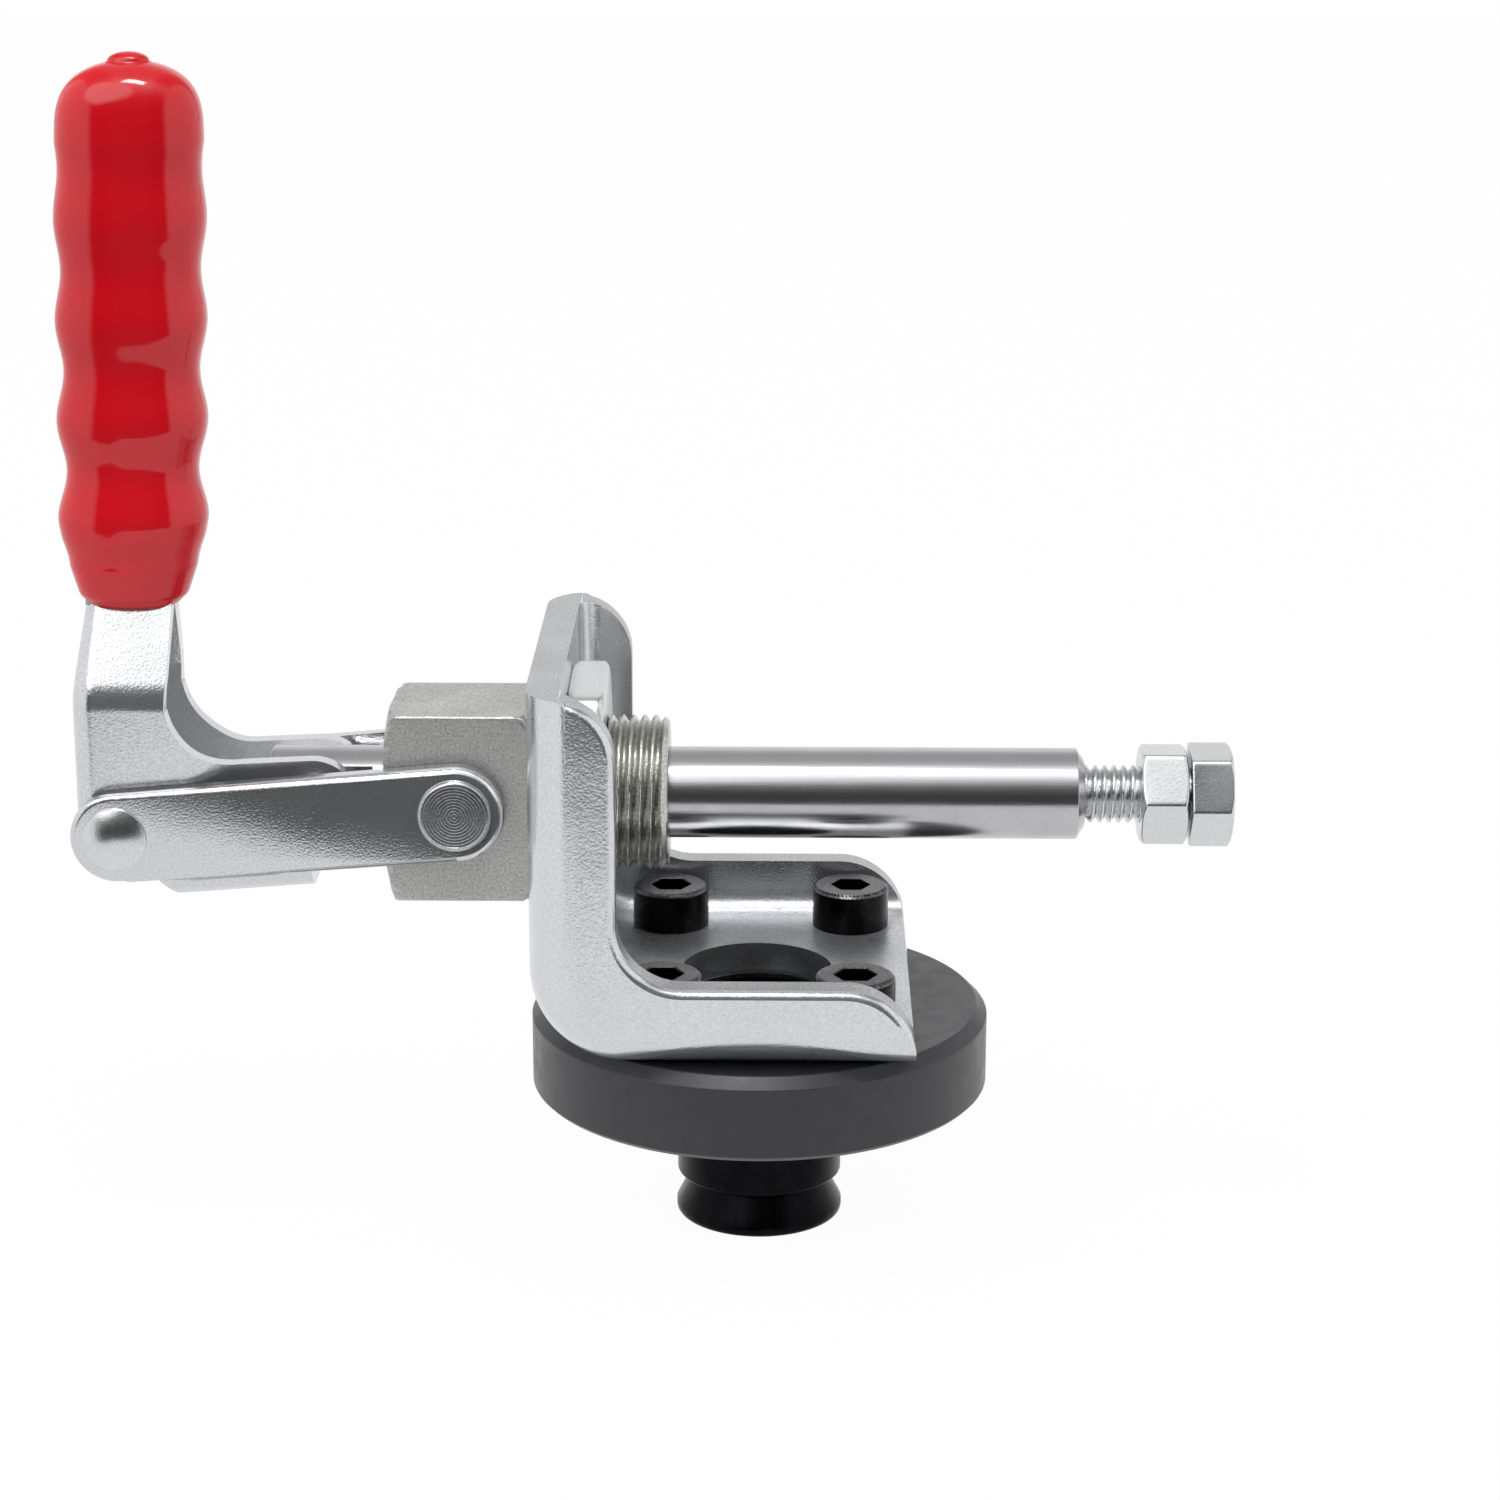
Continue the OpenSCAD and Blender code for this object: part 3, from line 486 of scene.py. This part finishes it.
def roundRims(piece, high):
    # the cut edges get their own finish, and a round wherever they meet a flange's face
    mesh = piece.data
    mesh.materials.append(cutEdgeZinc)
    mesh.materials.append(channelPaintedLightZinc)
    sheetInside = float(high[1]) - rimLook["sheet"] * mm
    rims = sheetRims(mesh, high, sheetInside)
    normal, centre = faceTables(mesh)[:2]
    height = centre[:, 2] / mm
    between = np.abs(centre[:, 1]) < sheetInside
    seat = (normal[:, 2] > rimLook["outward"]) & (height < rimLook["seatTop"]) & between
    low = (height > rimLook["insideFrom"]) & (height < rimLook["insideTo"])
    # faces inside the channel and the seat take the retoned zinc: painted light
    inside = (innerFaces(mesh, sheetInside) & low | seat) & ~rims
    mesh.polygons.foreach_set("material_index", rims.astype(np.int32) + 2 * inside.astype(np.int32))
    shell = bmesh.new()
    shell.from_mesh(mesh)
    borders = [sorted(face.material_index for face in edge.link_faces) == [0, 1] and
               min(abs(corner.co.y) for corner in edge.verts) > high[1] - rimLook["edgeBand"] * mm
               for edge in shell.edges]
    shell.free()
    weightedRound(piece, "roundRims", borders, rimLook["round"], rimLook["segments"]).material = 0


linkLook = {
    "round": 1.0, "segments": 4,              # mm
    "pinZone": 7,                             # edges this near a pin stay sharp, and so do those at the cross web
    "webTop": 41.5, "webSpan": (-100, -70),   # its height and its reach along X
    "band": 0.1, "flat": 0.98, "wall": 0.3}   # mm to its box, and how far a face's normal lies along Y


def roundOutline(piece, high):
    # a round along the outline of the two outermost flat faces
    shell = bmesh.new()
    shell.from_mesh(piece.data)
    outline = []
    webStart, webEnd = linkLook["webSpan"]
    for edge in shell.edges:
        turned = sorted(abs(face.normal.y) for face in edge.link_faces)
        middle = 0.5 * (edge.verts[0].co + edge.verts[1].co)
        fromPins = min(math.hypot(middle.x - pin[0], middle.z - pin[2]) for pin in (elbow, pivot))
        atWeb = middle.z < linkLook["webTop"] * mm and webStart * mm < middle.x < webEnd * mm
        square = len(turned) == 2 and turned[0] < linkLook["wall"] and turned[1] > linkLook["flat"]
        outermost = min(abs(corner.co.y) for corner in edge.verts) > high[1] - linkLook["band"] * mm
        outline.append(square and outermost and fromPins > linkLook["pinZone"] * mm and not atWeb)
    shell.free()
    weightedRound(piece, "roundOutline", outline, linkLook["round"], linkLook["segments"])
    evenShading(piece)


easeLook = {"weld": 0.0005, "flatAngle": 0.4, "sharpAngle": 40.0, "segments": 2, "angle": 32.0}   # mm, degrees
leverInside = 7.9   # mm from the middle plane to just past the lever's inner faces
wornAndSheenTop = {"deep": 0.8, "upward": 0.7}   # mm down from a screw's top, and how far up a face looks to take the lighter top: wear and painted sheen


def finishedCopy(node, body, material, edge):
    # the CAD node's own mesh, merged and made of whole flat faces, with its edges eased by a small bevel
    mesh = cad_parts[node].data.copy()
    shell = bmesh.new()
    shell.from_mesh(mesh)
    bmesh.ops.remove_doubles(shell, verts=shell.verts, dist=easeLook["weld"] * mm)
    bmesh.ops.dissolve_limit(shell, angle_limit=math.radians(easeLook["flatAngle"]),
                             verts=shell.verts, edges=shell.edges, delimit={"NORMAL"})
    shell.to_mesh(mesh)
    shell.free()
    smoothBelow(mesh, easeLook["sharpAngle"])
    piece = addObject(node + "_finish", mesh, body, [node], material)
    if node == "bracket":
        roundRims(piece, nodeHigh(node))
    if node == "link":
        roundOutline(piece, nodeHigh(node))
    if node == "handle_lever":
        # faces inside the lever's channel take the paler copy: painted light
        mesh.materials.append(leverPaintedLightZinc)
        mesh.polygons.foreach_set("material_index", innerFaces(mesh, leverInside * mm).astype(np.int32))
    if node.startswith("base_screw"):
        # upward faces at a screw's top take the lighter colour: wear and painted sheen
        normal, centre = faceTables(mesh)[:2]
        worn = (normal[:, 2] > wornAndSheenTop["upward"]) & (centre[:, 2] > nodeHigh(node)[2] - wornAndSheenTop["deep"] * mm)
        mesh.materials.append(wornAndSheenScrew)
        mesh.polygons.foreach_set("material_index", worn.astype(np.int32))
    if edge > 0:
        bevel = piece.modifiers.new("easedEdges", "BEVEL")
        bevel.width = edge * mm
        bevel.segments = easeLook["segments"]
        bevel.limit_method = "ANGLE"
        bevel.angle_limit = math.radians(easeLook["angle"])
        evenShading(piece)


# node: body, finish, width of the bevel on its edges in mm
finishes = {
    "base_disc": ("base", blackDisc, 0.3),
    "table_spigot": ("base", blackSpigotPaintedShade, 0.3),
    "spigot_screw": ("base", blackScrew, 0.2),
    "bracket": ("base", bracketZinc, 0.4),
    "base_screw_1": ("base", blackScrew, 0.3),
    "base_screw_2": ("base", blackScrew, 0.3),
    "base_screw_3": ("base", blackScrew, 0.3),
    "base_screw_4": ("base", blackScrew, 0.3),
    "plunger": ("plunger", groundPlunger, 0.2),
    "cross_pin": ("handle", zincHardware, 0.2),
    "handle_lever": ("handle", leverZinc, 0.35),
    "link": ("link", linkZinc, 0),
}
for nodeName, (bodyName, finish, edge) in finishes.items():
    finishedCopy(nodeName, bodyName, finish, edge)
print("sheet and turned pieces finished")


# hexagons and the block: prisms trimmed by a turned profile

prismLook = {"ease": 0.25, "easeSteps": 5, "rows": 40}   # mm for the rounded ends


def trimmedPrism(flats, profile, bore, startX, length, columns, softness):
    # radius(turn, x) = (sum over flats of (max(0, cos(turn - flat angle)) / flat distance)^p
    # + (1 / turned radius(x))^p)^(-1/p): a polygon trimmed by a turned profile, the edge where they meet
    # softer as the power p falls; the ends run in to the bore
    turn = np.linspace(0, 2 * np.pi, columns, endpoint=False)
    ease = prismLook["ease"] * mm
    bend = np.linspace(0, np.pi / 2, prismLook["easeSteps"])
    sides = np.linspace(ease, length - ease, prismLook["rows"])[1:-1]
    along, inwards = ease * (1 - np.cos(bend)), ease * (1 - np.sin(bend))
    x = np.concatenate([[0, 0], along, sides, length - along[::-1], [length, length]])
    inset = np.concatenate([[0, 0], inwards, 0 * sides, inwards[::-1], [0, 0]])
    reach = np.concatenate([[0, 0.5], np.ones(len(x) - 4), [0.5, 0]])
    turned = np.interp(x, profile[0], profile[1])
    wall = sum((np.maximum(0, np.cos(turn - angle)) / distance) ** softness for angle, distance in flats)
    radius = (wall[None, :] + (1 / turned[:, None]) ** softness) ** (-1 / softness) - inset[:, None]
    radius = bore + (radius - bore) * reach[:, None]
    grid = aroundX(startX + x[:, None], radius, turn[None, :], axisZ)
    tunnel = aroundX(startX + x[[0, -1], None], np.full((2, columns), bore), turn[None, :], axisZ)
    return [grid, tunnel[::-1]] if bore > 0 else [grid]


# sizes in mm; ends says which ends are chamfered, and cut how far, as a share of a corner's reach past the flats
hexParts = {
    "jamNut": {"node": "jam_nut", "body": "jam_nut", "turnDegrees": 33.4, "across": 15.0, "bore": 4.4,
               "ends": (1, 1), "cut": 1.15},
    "boltHead": {"node": "clamping_bolt", "body": "bolt", "turnDegrees": 24.3, "across": 15.1, "bore": 0.0,
                 "ends": (0, 1), "cut": 1.15},
    "noseNut": {"node": "nose_nut", "body": "base", "turnDegrees": 27.8, "across": 39.0, "bore": 12.3,
                "ends": (1, 1), "cut": 0.6},
}
hexLook = {"columns": 180, "softness": 60.0, "chamferDegrees": 60, "endClear": 0.2, "sideClear": 0.4}


def hexGrids(part, startX, length):
    # six flats at across / 2 from the axis; a cone at each chamfered end starts at
    # corner - cut * (corner - flat) and rises past the corners
    flat = 0.5 * part["across"] * mm
    corner = flat / math.cos(math.pi / 6)
    first = math.radians(part["turnDegrees"]) + math.pi / 6
    flats = [(first + k * math.pi / 3, flat) for k in range(6)]
    drop = (corner - flat) * part["cut"]
    run = drop / math.tan(math.radians(hexLook["chamferDegrees"]))
    along = [0, run, length - run, length]
    side, end = corner + hexLook["sideClear"] * mm, corner + hexLook["endClear"] * mm
    height = [end - drop * part["ends"][0], side, side, end - drop * part["ends"][1]]
    return trimmedPrism(flats, (along, height), part["bore"] * mm, startX, length,
                        hexLook["columns"], hexLook["softness"])


threadForm = {"top": 1.22, "flank": 2.6}


def threadGrid(majorRadius, thread, startX, endX):
    # radius(turn, x) = major radius - depth * (1 - crest), with crest = top - flank * |phase - 1/2| held between
    # 0 and 1 and phase = (x / pitch - turn / 2 pi) mod 1; a chamfer is a cone that takes the last crests away
    pitch = thread["pitch"] * mm
    turn = np.linspace(0, 2 * np.pi, thread["columns"], endpoint=False)
    x = np.linspace(startX, endX, int(abs(endX - startX) / pitch * thread["perTurn"]))
    phase = np.mod(x[:, None] / pitch - turn[None, :] / (2 * np.pi), 1.0)
    crest = np.clip(threadForm["top"] - threadForm["flank"] * np.abs(phase - 0.5), 0, 1)
    radius = majorRadius - thread["depth"] * mm * (1 - crest)
    if "chamfer" in thread:
        radius = np.minimum(radius, (majorRadius - thread["chamfer"] * mm + np.abs(endX - x))[:, None])
    return radius, x, turn


# threads in mm
noseThread = {"pitch": 1.81, "depth": 1.05, "chamfer": 1.0, "columns": 144, "perTurn": 14}
boltThread = {"radius": 4.75, "pitch": 1.55, "depth": 0.85, "length": 50, "gap": 0.3,
              "columns": 60, "perTurn": 14}

# block with its threaded nose, in mm; rear and front give its turned profile: (in from that end, past the corners)
blockLook = {"width": 21.6, "columns": 360, "softness": 110.0, "play": 0.05,
             "rear": ((0, -5.5), (1.0, -1.2), (2.2, 1.0)), "front": ((2.6, 0.6), (0, -2.3))}
blockLow, blockHigh = nodeLow("clamp_body"), nodeHigh("clamp_body")
uprightX = float(nodeLow("bracket")[0])
blockHeight = float(blockHigh[2] - blockLow[2])
blockWidth = blockLook["width"] * mm
noseRadius = float(blockHigh[1])
boreRadius = float(nodeHigh("plunger")[1]) + blockLook["play"] * mm
blockLength = uprightX - float(blockLow[0])
cornerReach = math.hypot(blockHeight, blockWidth) / 2
blockFlats = [(k * math.pi / 2, (blockWidth if k % 2 else blockHeight) / 2) for k in range(4)]
rear, front = np.array(blockLook["rear"]) * mm, np.array(blockLook["front"]) * mm
blockProfile = (np.concatenate([rear[:, 0], blockLength - front[:, 0]]),
                cornerReach + np.concatenate([rear[:, 1], front[:, 1]]))
blockGrids = trimmedPrism(blockFlats, blockProfile, boreRadius, float(blockLow[0]), blockLength,
                          blockLook["columns"], blockLook["softness"])
addObject("blockBody", meshFromGrids("blockBody", blockGrids), "base", ["clamp_body"], mattBlock)

radius, x, turn = threadGrid(noseRadius, noseThread, uprightX, float(blockHigh[0]))
noseGrid = aroundX(x[:, None], radius, turn[None, :], axisZ)
boreRing = np.full(noseThread["columns"], boreRadius)
noseFace = aroundX(np.array([[blockHigh[0]], [blockHigh[0]], [uprightX]]),
                   np.stack([radius[-1], boreRing, boreRing]), turn[None, :], axisZ)
noseMesh = meshFromGrids("noseThread", [noseGrid, noseFace], 50.0)
addObject("noseThread", noseMesh, "base", ["clamp_body"], noseThreadZinc)

for partName, part in hexParts.items():
    low, high = nodeLow(part["node"]), nodeHigh(part["node"])
    shank = boltThread["length"] * mm if partName == "boltHead" else 0
    headStart = float(low[0]) + shank
    grids = hexGrids(part, headStart, float(high[0]) - headStart)
    if partName == "boltHead":
        threadStart = headStart + boltThread["gap"] * mm
        radius, x, turn = threadGrid(boltThread["radius"] * mm, boltThread, threadStart, float(low[0]))
        grids.append(aroundX(x[:, None], radius, turn[None, :], axisZ))
    addObject(partName, meshFromGrids(partName, grids, 40.0), part["body"], [part["node"]], zincHardware)
print("threads and hexagons made")


# pins and rivets

turnedColumns = 96


def turnedAlongY(name, node, profile, centre, side, material):
    # a profile of (radius, distance out from the middle plane) in mm, turned about an axis along Y:
    # (centre x + radius cos turn, side * distance out, centre z + radius sin turn)
    turn = np.linspace(0, 2 * np.pi, turnedColumns, endpoint=False)[None, :]
    radius, out = (np.array(values)[:, None] * mm for values in zip(*profile))
    x, z = centre[0] + radius * np.cos(turn), centre[2] + radius * np.sin(turn)
    grid = np.stack([x, side * out + 0 * turn, z], -1)
    addObject(name, meshFromGrids(name, [grid], 40.0), "link", [node], material)


pinLook = {"radius": 6.0, "start": 10.92, "rim": 0.8, "rimSteps": 7, "stand": 0.9, "ledge": 0.08, "dish": 0.1,
           "ringPitch": 0.5, "ringDepth": 0.006, "ringSteps": 110}   # mm


def pinProfile(plate):
    # a quarter round rim, then a dished face with turned rings: height = depth * sin(2 pi r / pitch) - dish
    radius, rim, top = pinLook["radius"], pinLook["rim"], plate + pinLook["stand"]
    bend = np.linspace(0, np.pi / 2, pinLook["rimSteps"])
    edge = [(radius - rim * (1 - math.cos(a)), top - rim * (1 - math.sin(a))) for a in bend]
    face = np.linspace(radius - rim - pinLook["ledge"], 0.0, pinLook["ringSteps"])
    rings = top - pinLook["dish"] + pinLook["ringDepth"] * np.sin(2 * np.pi * face / pinLook["ringPitch"])
    return [(0.0, pinLook["start"]), (radius, pinLook["start"])] + edge + list(zip(face, rings))


# mm; the head's arc stands on a rim, and seat is where its underside turns in: (in from its radius, out)
rivetLook = {"radius": 5.1, "rise": 1.2, "rim": 0.5, "shank": 4.0, "steps": 16,
             "seat": ((0.35, -0.1), (0.1, 0.2))}


def domeProfile(plate):
    # a shank, then a head topped by an arc of radius R = (head radius^2 + rise^2) / (2 rise):
    # (R sin a, plate + rim + rise - R + R cos a)
    look = rivetLook
    arc = (look["radius"] ** 2 + look["rise"] ** 2) / (2 * look["rise"])
    angles = np.linspace(math.asin(look["radius"] / arc), 0, look["steps"])
    dome = [(arc * math.sin(a), plate + look["rim"] + look["rise"] - arc + arc * math.cos(a)) for a in angles]
    seat = [(look["radius"] - inwards, plate + out) for inwards, out in look["seat"]]
    return [(0.0, 0.0), (look["shank"], 0.0), (look["shank"], seat[0][1])] + seat + dome


linkOut = float(nodeHigh("link")[1]) / mm
for side, nodeName in ((-1, "pivot_pin_front"), (1, "pivot_pin_rear")):
    centre = 0.5 * (nodeLow(nodeName) + nodeHigh(nodeName))
    turnedAlongY(nodeName + "_face", nodeName, pinProfile(linkOut), centre, side, pinZinc)
for side, word in ((-1, "front"), (1, "rear")):
    turnedAlongY("rivetHead_" + word, "elbow_rivet", domeProfile(linkOut), elbow, side, zincHardware)
print("pins made")


# dipped grip

# sizes in mm, from the foot up: lip, taper, ridges, dome and the nub on top
gripLook = {
    "footX": -101.7, "footZ": 82.0, "topZ": 168.55, "lean": 0.033,
    "halfWidth": 12.05, "depthShare": 0.72, "squareness": 0.86,
    "lip": ((1.5, 2.6), (0.25, 1.6), (0, 0.5)),   # (up from the foot, in from its edge)
    "taperDepth": 3.1, "taperLength": 12, "taperPower": 1.3, "roundTop": 83.6, "roundSlope": 0.6,
    "ridgeStart": 96, "ridgePitch": 16.1, "ridgeDepth": 1.5, "fadeFrom": 103, "fade": 0.016,
    "domeStart": 154, "domeWidth": 11.7, "domeOver": 0.3, "domePower": 4,
    "nubRadius": 3.3, "nubNeck": 0.5, "nubStand": 0.1, "nubRise": 1.5,
    "wallTop": 156, "wallRows": 200, "capRows": 60, "nubRows": 10, "columns": 96}


def gripHalfWidth(z):
    # the least of three: ridges = widest - depth(z) * (1 - cos(2 pi (z - ridge start) / pitch)) / 2,
    # dome = dome width * sqrt(1 - (share of the dome's height)^4),
    # taper = widest - taper depth * (distance below the ridges / taper length)^1.3 - slope of the rounded foot
    g = gripLook
    depth = g["ridgeDepth"] - g["fade"] * (z - g["fadeFrom"])
    ridges = g["halfWidth"] - depth * (1 - np.cos(2 * np.pi * (z - g["ridgeStart"]) / g["ridgePitch"])) / 2
    share = np.maximum(z - g["domeStart"], 0) / (g["topZ"] + g["domeOver"] - g["domeStart"])
    dome = g["domeWidth"] * np.sqrt(np.maximum(0, 1 - share ** g["domePower"]))
    down = np.maximum(g["ridgeStart"] - z, 0) / g["taperLength"]
    foot = g["roundSlope"] * np.maximum(0, g["roundTop"] - z)
    taper = g["halfWidth"] - g["taperDepth"] * down ** g["taperPower"] - foot
    capped = np.minimum(ridges, np.where(z > g["domeStart"], dome, np.inf))
    return np.minimum(capped, np.where(z < g["ridgeStart"], taper, np.inf))


def makeGrip():
    # ring at height z, with r the half width: x = foot x + lean * (z - foot z) + r sgn(cos) |cos|^k,
    # y = depth share * r sgn(sin) |sin|^k; the top closes in a nub, and the foot rolls in to the lever
    g = gripLook
    bend = np.linspace(0, np.pi / 2, g["capRows"])[1:]
    z = np.concatenate([np.linspace(g["footZ"], g["wallTop"], g["wallRows"]),
                        g["wallTop"] + (g["topZ"] - g["wallTop"]) * np.sin(bend)])
    r = gripHalfWidth(z)
    keep = r > g["nubRadius"] + g["nubNeck"]
    lipUp, lipIn = np.array(g["lip"]).T
    nubTurn = np.linspace(0, np.pi / 2, g["nubRows"])
    nubZ = g["topZ"] + g["nubStand"] + g["nubRise"] * np.sin(nubTurn)
    r = np.concatenate([r[0] - lipIn, r[keep], g["nubRadius"] * np.cos(nubTurn)])
    z = np.concatenate([g["footZ"] + lipUp, z[keep], nubZ])
    turn = np.linspace(0, 2 * np.pi, g["columns"], endpoint=False)[None, :]
    c, s = np.cos(turn), np.sin(turn)
    k = g["squareness"]
    centreX = g["footX"] + g["lean"] * (z[:, None] - g["footZ"])
    x = centreX + r[:, None] * np.sign(c) * np.abs(c) ** k
    y = g["depthShare"] * r[:, None] * np.sign(s) * np.abs(s) ** k
    grid = np.stack([x, y, z[:, None] + 0 * turn], -1) * mm
    addObject("grip", meshFromGrids("grip", [grid], 60.0), "handle", ["handle_grip"], redVinyl)


makeGrip()
print("grip made")


# studio

studio = {
    "floorZ": float(nodeLow("table_spigot")[2]) - 0.05 * mm,   # just under the lowest point
    # corners in metres
    "outline": [(-1.6, -0.22), (-0.19, -0.22), (-0.16, -0.30), (1.6, -0.30), (1.6, 2.4), (-1.6, 2.4)],
    "pale": (0.80, 0.80, 0.81), "whiteShare": 0.965}


def seenDirectly(tree):
    # 1 for what the camera sees itself, in metal or through glass
    rays = tree.nodes.new("ShaderNodeLightPath")
    mirrored = mathNode(tree, "MAXIMUM", rays.outputs["Is Glossy Ray"], rays.outputs["Is Transmission Ray"])
    return mathNode(tree, "MAXIMUM", rays.outputs["Is Camera Ray"], mirrored)


def makeFloor():
    material = bpy.data.materials.new("paleFloor")
    material.use_nodes = True
    tree = material.node_tree
    tree.nodes.remove(tree.nodes["Principled BSDF"])
    diffuse = tree.nodes.new("ShaderNodeBsdfDiffuse")
    diffuse.inputs["Color"].default_value = (*studio["pale"], 1.0)
    white = tree.nodes.new("ShaderNodeEmission")
    mix = tree.nodes.new("ShaderNodeMixShader")
    tree.links.new(mathNode(tree, "MULTIPLY", seenDirectly(tree), studio["whiteShare"]), mix.inputs["Fac"])
    tree.links.new(diffuse.outputs[0], mix.inputs[1])
    tree.links.new(white.outputs[0], mix.inputs[2])
    tree.links.new(mix.outputs[0], tree.nodes["Material Output"].inputs["Surface"])
    mesh = bpy.data.meshes.new("floor")
    corners = [(x, y, studio["floorZ"]) for x, y in studio["outline"]]
    mesh.from_pydata(corners, [], [tuple(range(len(corners)))])
    mesh.materials.append(material)
    floor = bpy.data.objects.new("floor", mesh)
    bpy.context.scene.collection.objects.link(floor)


roomLight = {
    # brightness by angle in degrees, from the front horizon up over the top to the back
    "arch": [(-180, 0.7), (-90, 0.40), (-30, 0.14), (-12, 0.08), (12, 0.075), (24, 0.14), (33, 0.22), (42, 0.52),
             (50, 0.98), (57, 1.6), (64, 2.1), (73, 2.05), (82, 1.25), (91, 0.80), (104, 0.62), (125, 0.58),
             (140, 0.70), (180, 0.8)],
    "archEdge": (0.22, 0.38), "besideArch": 0.5, "sides": 1.05, "sideEdge": (0.56, 0.66),
    "key": 2.6, "keyAim": (-0.40, -0.58, 0.71), "keyEdge": (0.895, 0.945),
    "backdropEdge": (0.80, 0.86)}


def makeWorld():
    # an arch of soft light over a dark front, pale sides and a key light at the left; the backdrop behind is white
    world = bpy.data.worlds.new("studioRoom")
    bpy.context.scene.world = world
    world.use_nodes = True
    tree = world.node_tree
    tree.nodes.clear()
    direction = tree.nodes.new("ShaderNodeTexCoord").outputs["Generated"]
    split = tree.nodes.new("ShaderNodeSeparateXYZ")
    tree.links.new(direction, split.inputs[0])
    forward = mathNode(tree, "MULTIPLY", split.outputs["Y"], -1.0)
    angle = mathNode(tree, "ARCTAN2", split.outputs["Z"], forward)
    arch = tree.nodes.new("ShaderNodeValToRGB")
    for i, (degrees, value) in enumerate(roomLight["arch"]):
        place = (degrees + 180) / 360
        stop = arch.color_ramp.elements[i] if i < 2 else arch.color_ramp.elements.new(place)
        stop.position = place
        stop.color = (value, value, value, 1)
    tree.links.new(rampBetween(tree, angle, -math.pi, math.pi, 0.0, 1.0), arch.inputs[0])
    across = mathNode(tree, "ABSOLUTE", split.outputs["X"])
    beside = rampBetween(tree, across, *roomLight["archEdge"], 1.0, roomLight["besideArch"])
    narrowed = mathNode(tree, "MULTIPLY", arch.outputs["Color"], beside)
    sideways = rampBetween(tree, across, *roomLight["sideEdge"], 0.0, roomLight["sides"])
    aim = tree.nodes.new("ShaderNodeVectorMath")
    aim.operation = "DOT_PRODUCT"
    aim.inputs[1].default_value = roomLight["keyAim"]
    tree.links.new(direction, aim.inputs[0])
    key = rampBetween(tree, aim.outputs["Value"], *roomLight["keyEdge"], 0.0, roomLight["key"])
    room = mathNode(tree, "MAXIMUM", mathNode(tree, "MAXIMUM", narrowed, sideways), key)
    backdrop = rampBetween(tree, split.outputs["Y"], *roomLight["backdropEdge"], 0.0, 1.0)
    seen = tree.nodes.new("ShaderNodeMix")
    seen.data_type = "RGBA"
    seen.inputs["B"].default_value = (1, 1, 1, 1)
    tree.links.new(mathNode(tree, "MULTIPLY", seenDirectly(tree), backdrop), seen.inputs["Factor"])
    tree.links.new(room, seen.inputs["A"])
    background = tree.nodes.new("ShaderNodeBackground")
    tree.links.new(seen.outputs["Result"], background.inputs["Color"])
    output = tree.nodes.new("ShaderNodeOutputWorld")
    tree.links.new(background.outputs[0], output.inputs["Surface"])


# metres and watts
lampLook = {"place": (-0.10, -0.25, 0.95), "target": (0.0, 0.0, 0.05), "size": (0.26, 0.14), "power": 2.4}


def makeLamp():
    # one softbox over the object
    lamp = bpy.data.lights.new("overheadBox", "AREA")
    lamp.shape = "RECTANGLE"
    lamp.size, lamp.size_y = lampLook["size"]
    lamp.energy = lampLook["power"]
    lampObject = bpy.data.objects.new("overheadBox", lamp)
    bpy.context.scene.collection.objects.link(lampObject)
    place, target = Vector(lampLook["place"]), Vector(lampLook["target"])
    lampObject.location = place
    lampObject.rotation_euler = (target - place).to_track_quat("-Z", "Y").to_euler()


# the photograph's own view, found by fitting the object's known edges: metres and degrees, lens and sensor in mm
cameraLook = {"place": (0.00422, -0.5777, 0.2245), "yaw": 0.61, "pitch": 16.15, "roll": -0.09,
              "lens": 87.93, "sensor": 36.0, "near": 0.01}


def makeCamera():
    look = cameraLook
    camera = bpy.data.cameras.new("camera")
    camera.sensor_width = look["sensor"]
    camera.sensor_fit = "HORIZONTAL"
    camera.lens = look["lens"]
    camera.clip_start = look["near"]
    cameraObject = bpy.data.objects.new("camera", camera)
    bpy.context.scene.collection.objects.link(cameraObject)
    cameraObject.location = look["place"]
    cameraObject.rotation_mode = "XYZ"
    cameraObject.rotation_euler = [math.radians(a) for a in (90 - look["pitch"], look["roll"], look["yaw"])]
    bpy.context.scene.camera = cameraObject


makeFloor()
makeWorld()
makeLamp()
makeCamera()
bpy.context.scene.view_settings.view_transform = "Standard"
print("studio ready")
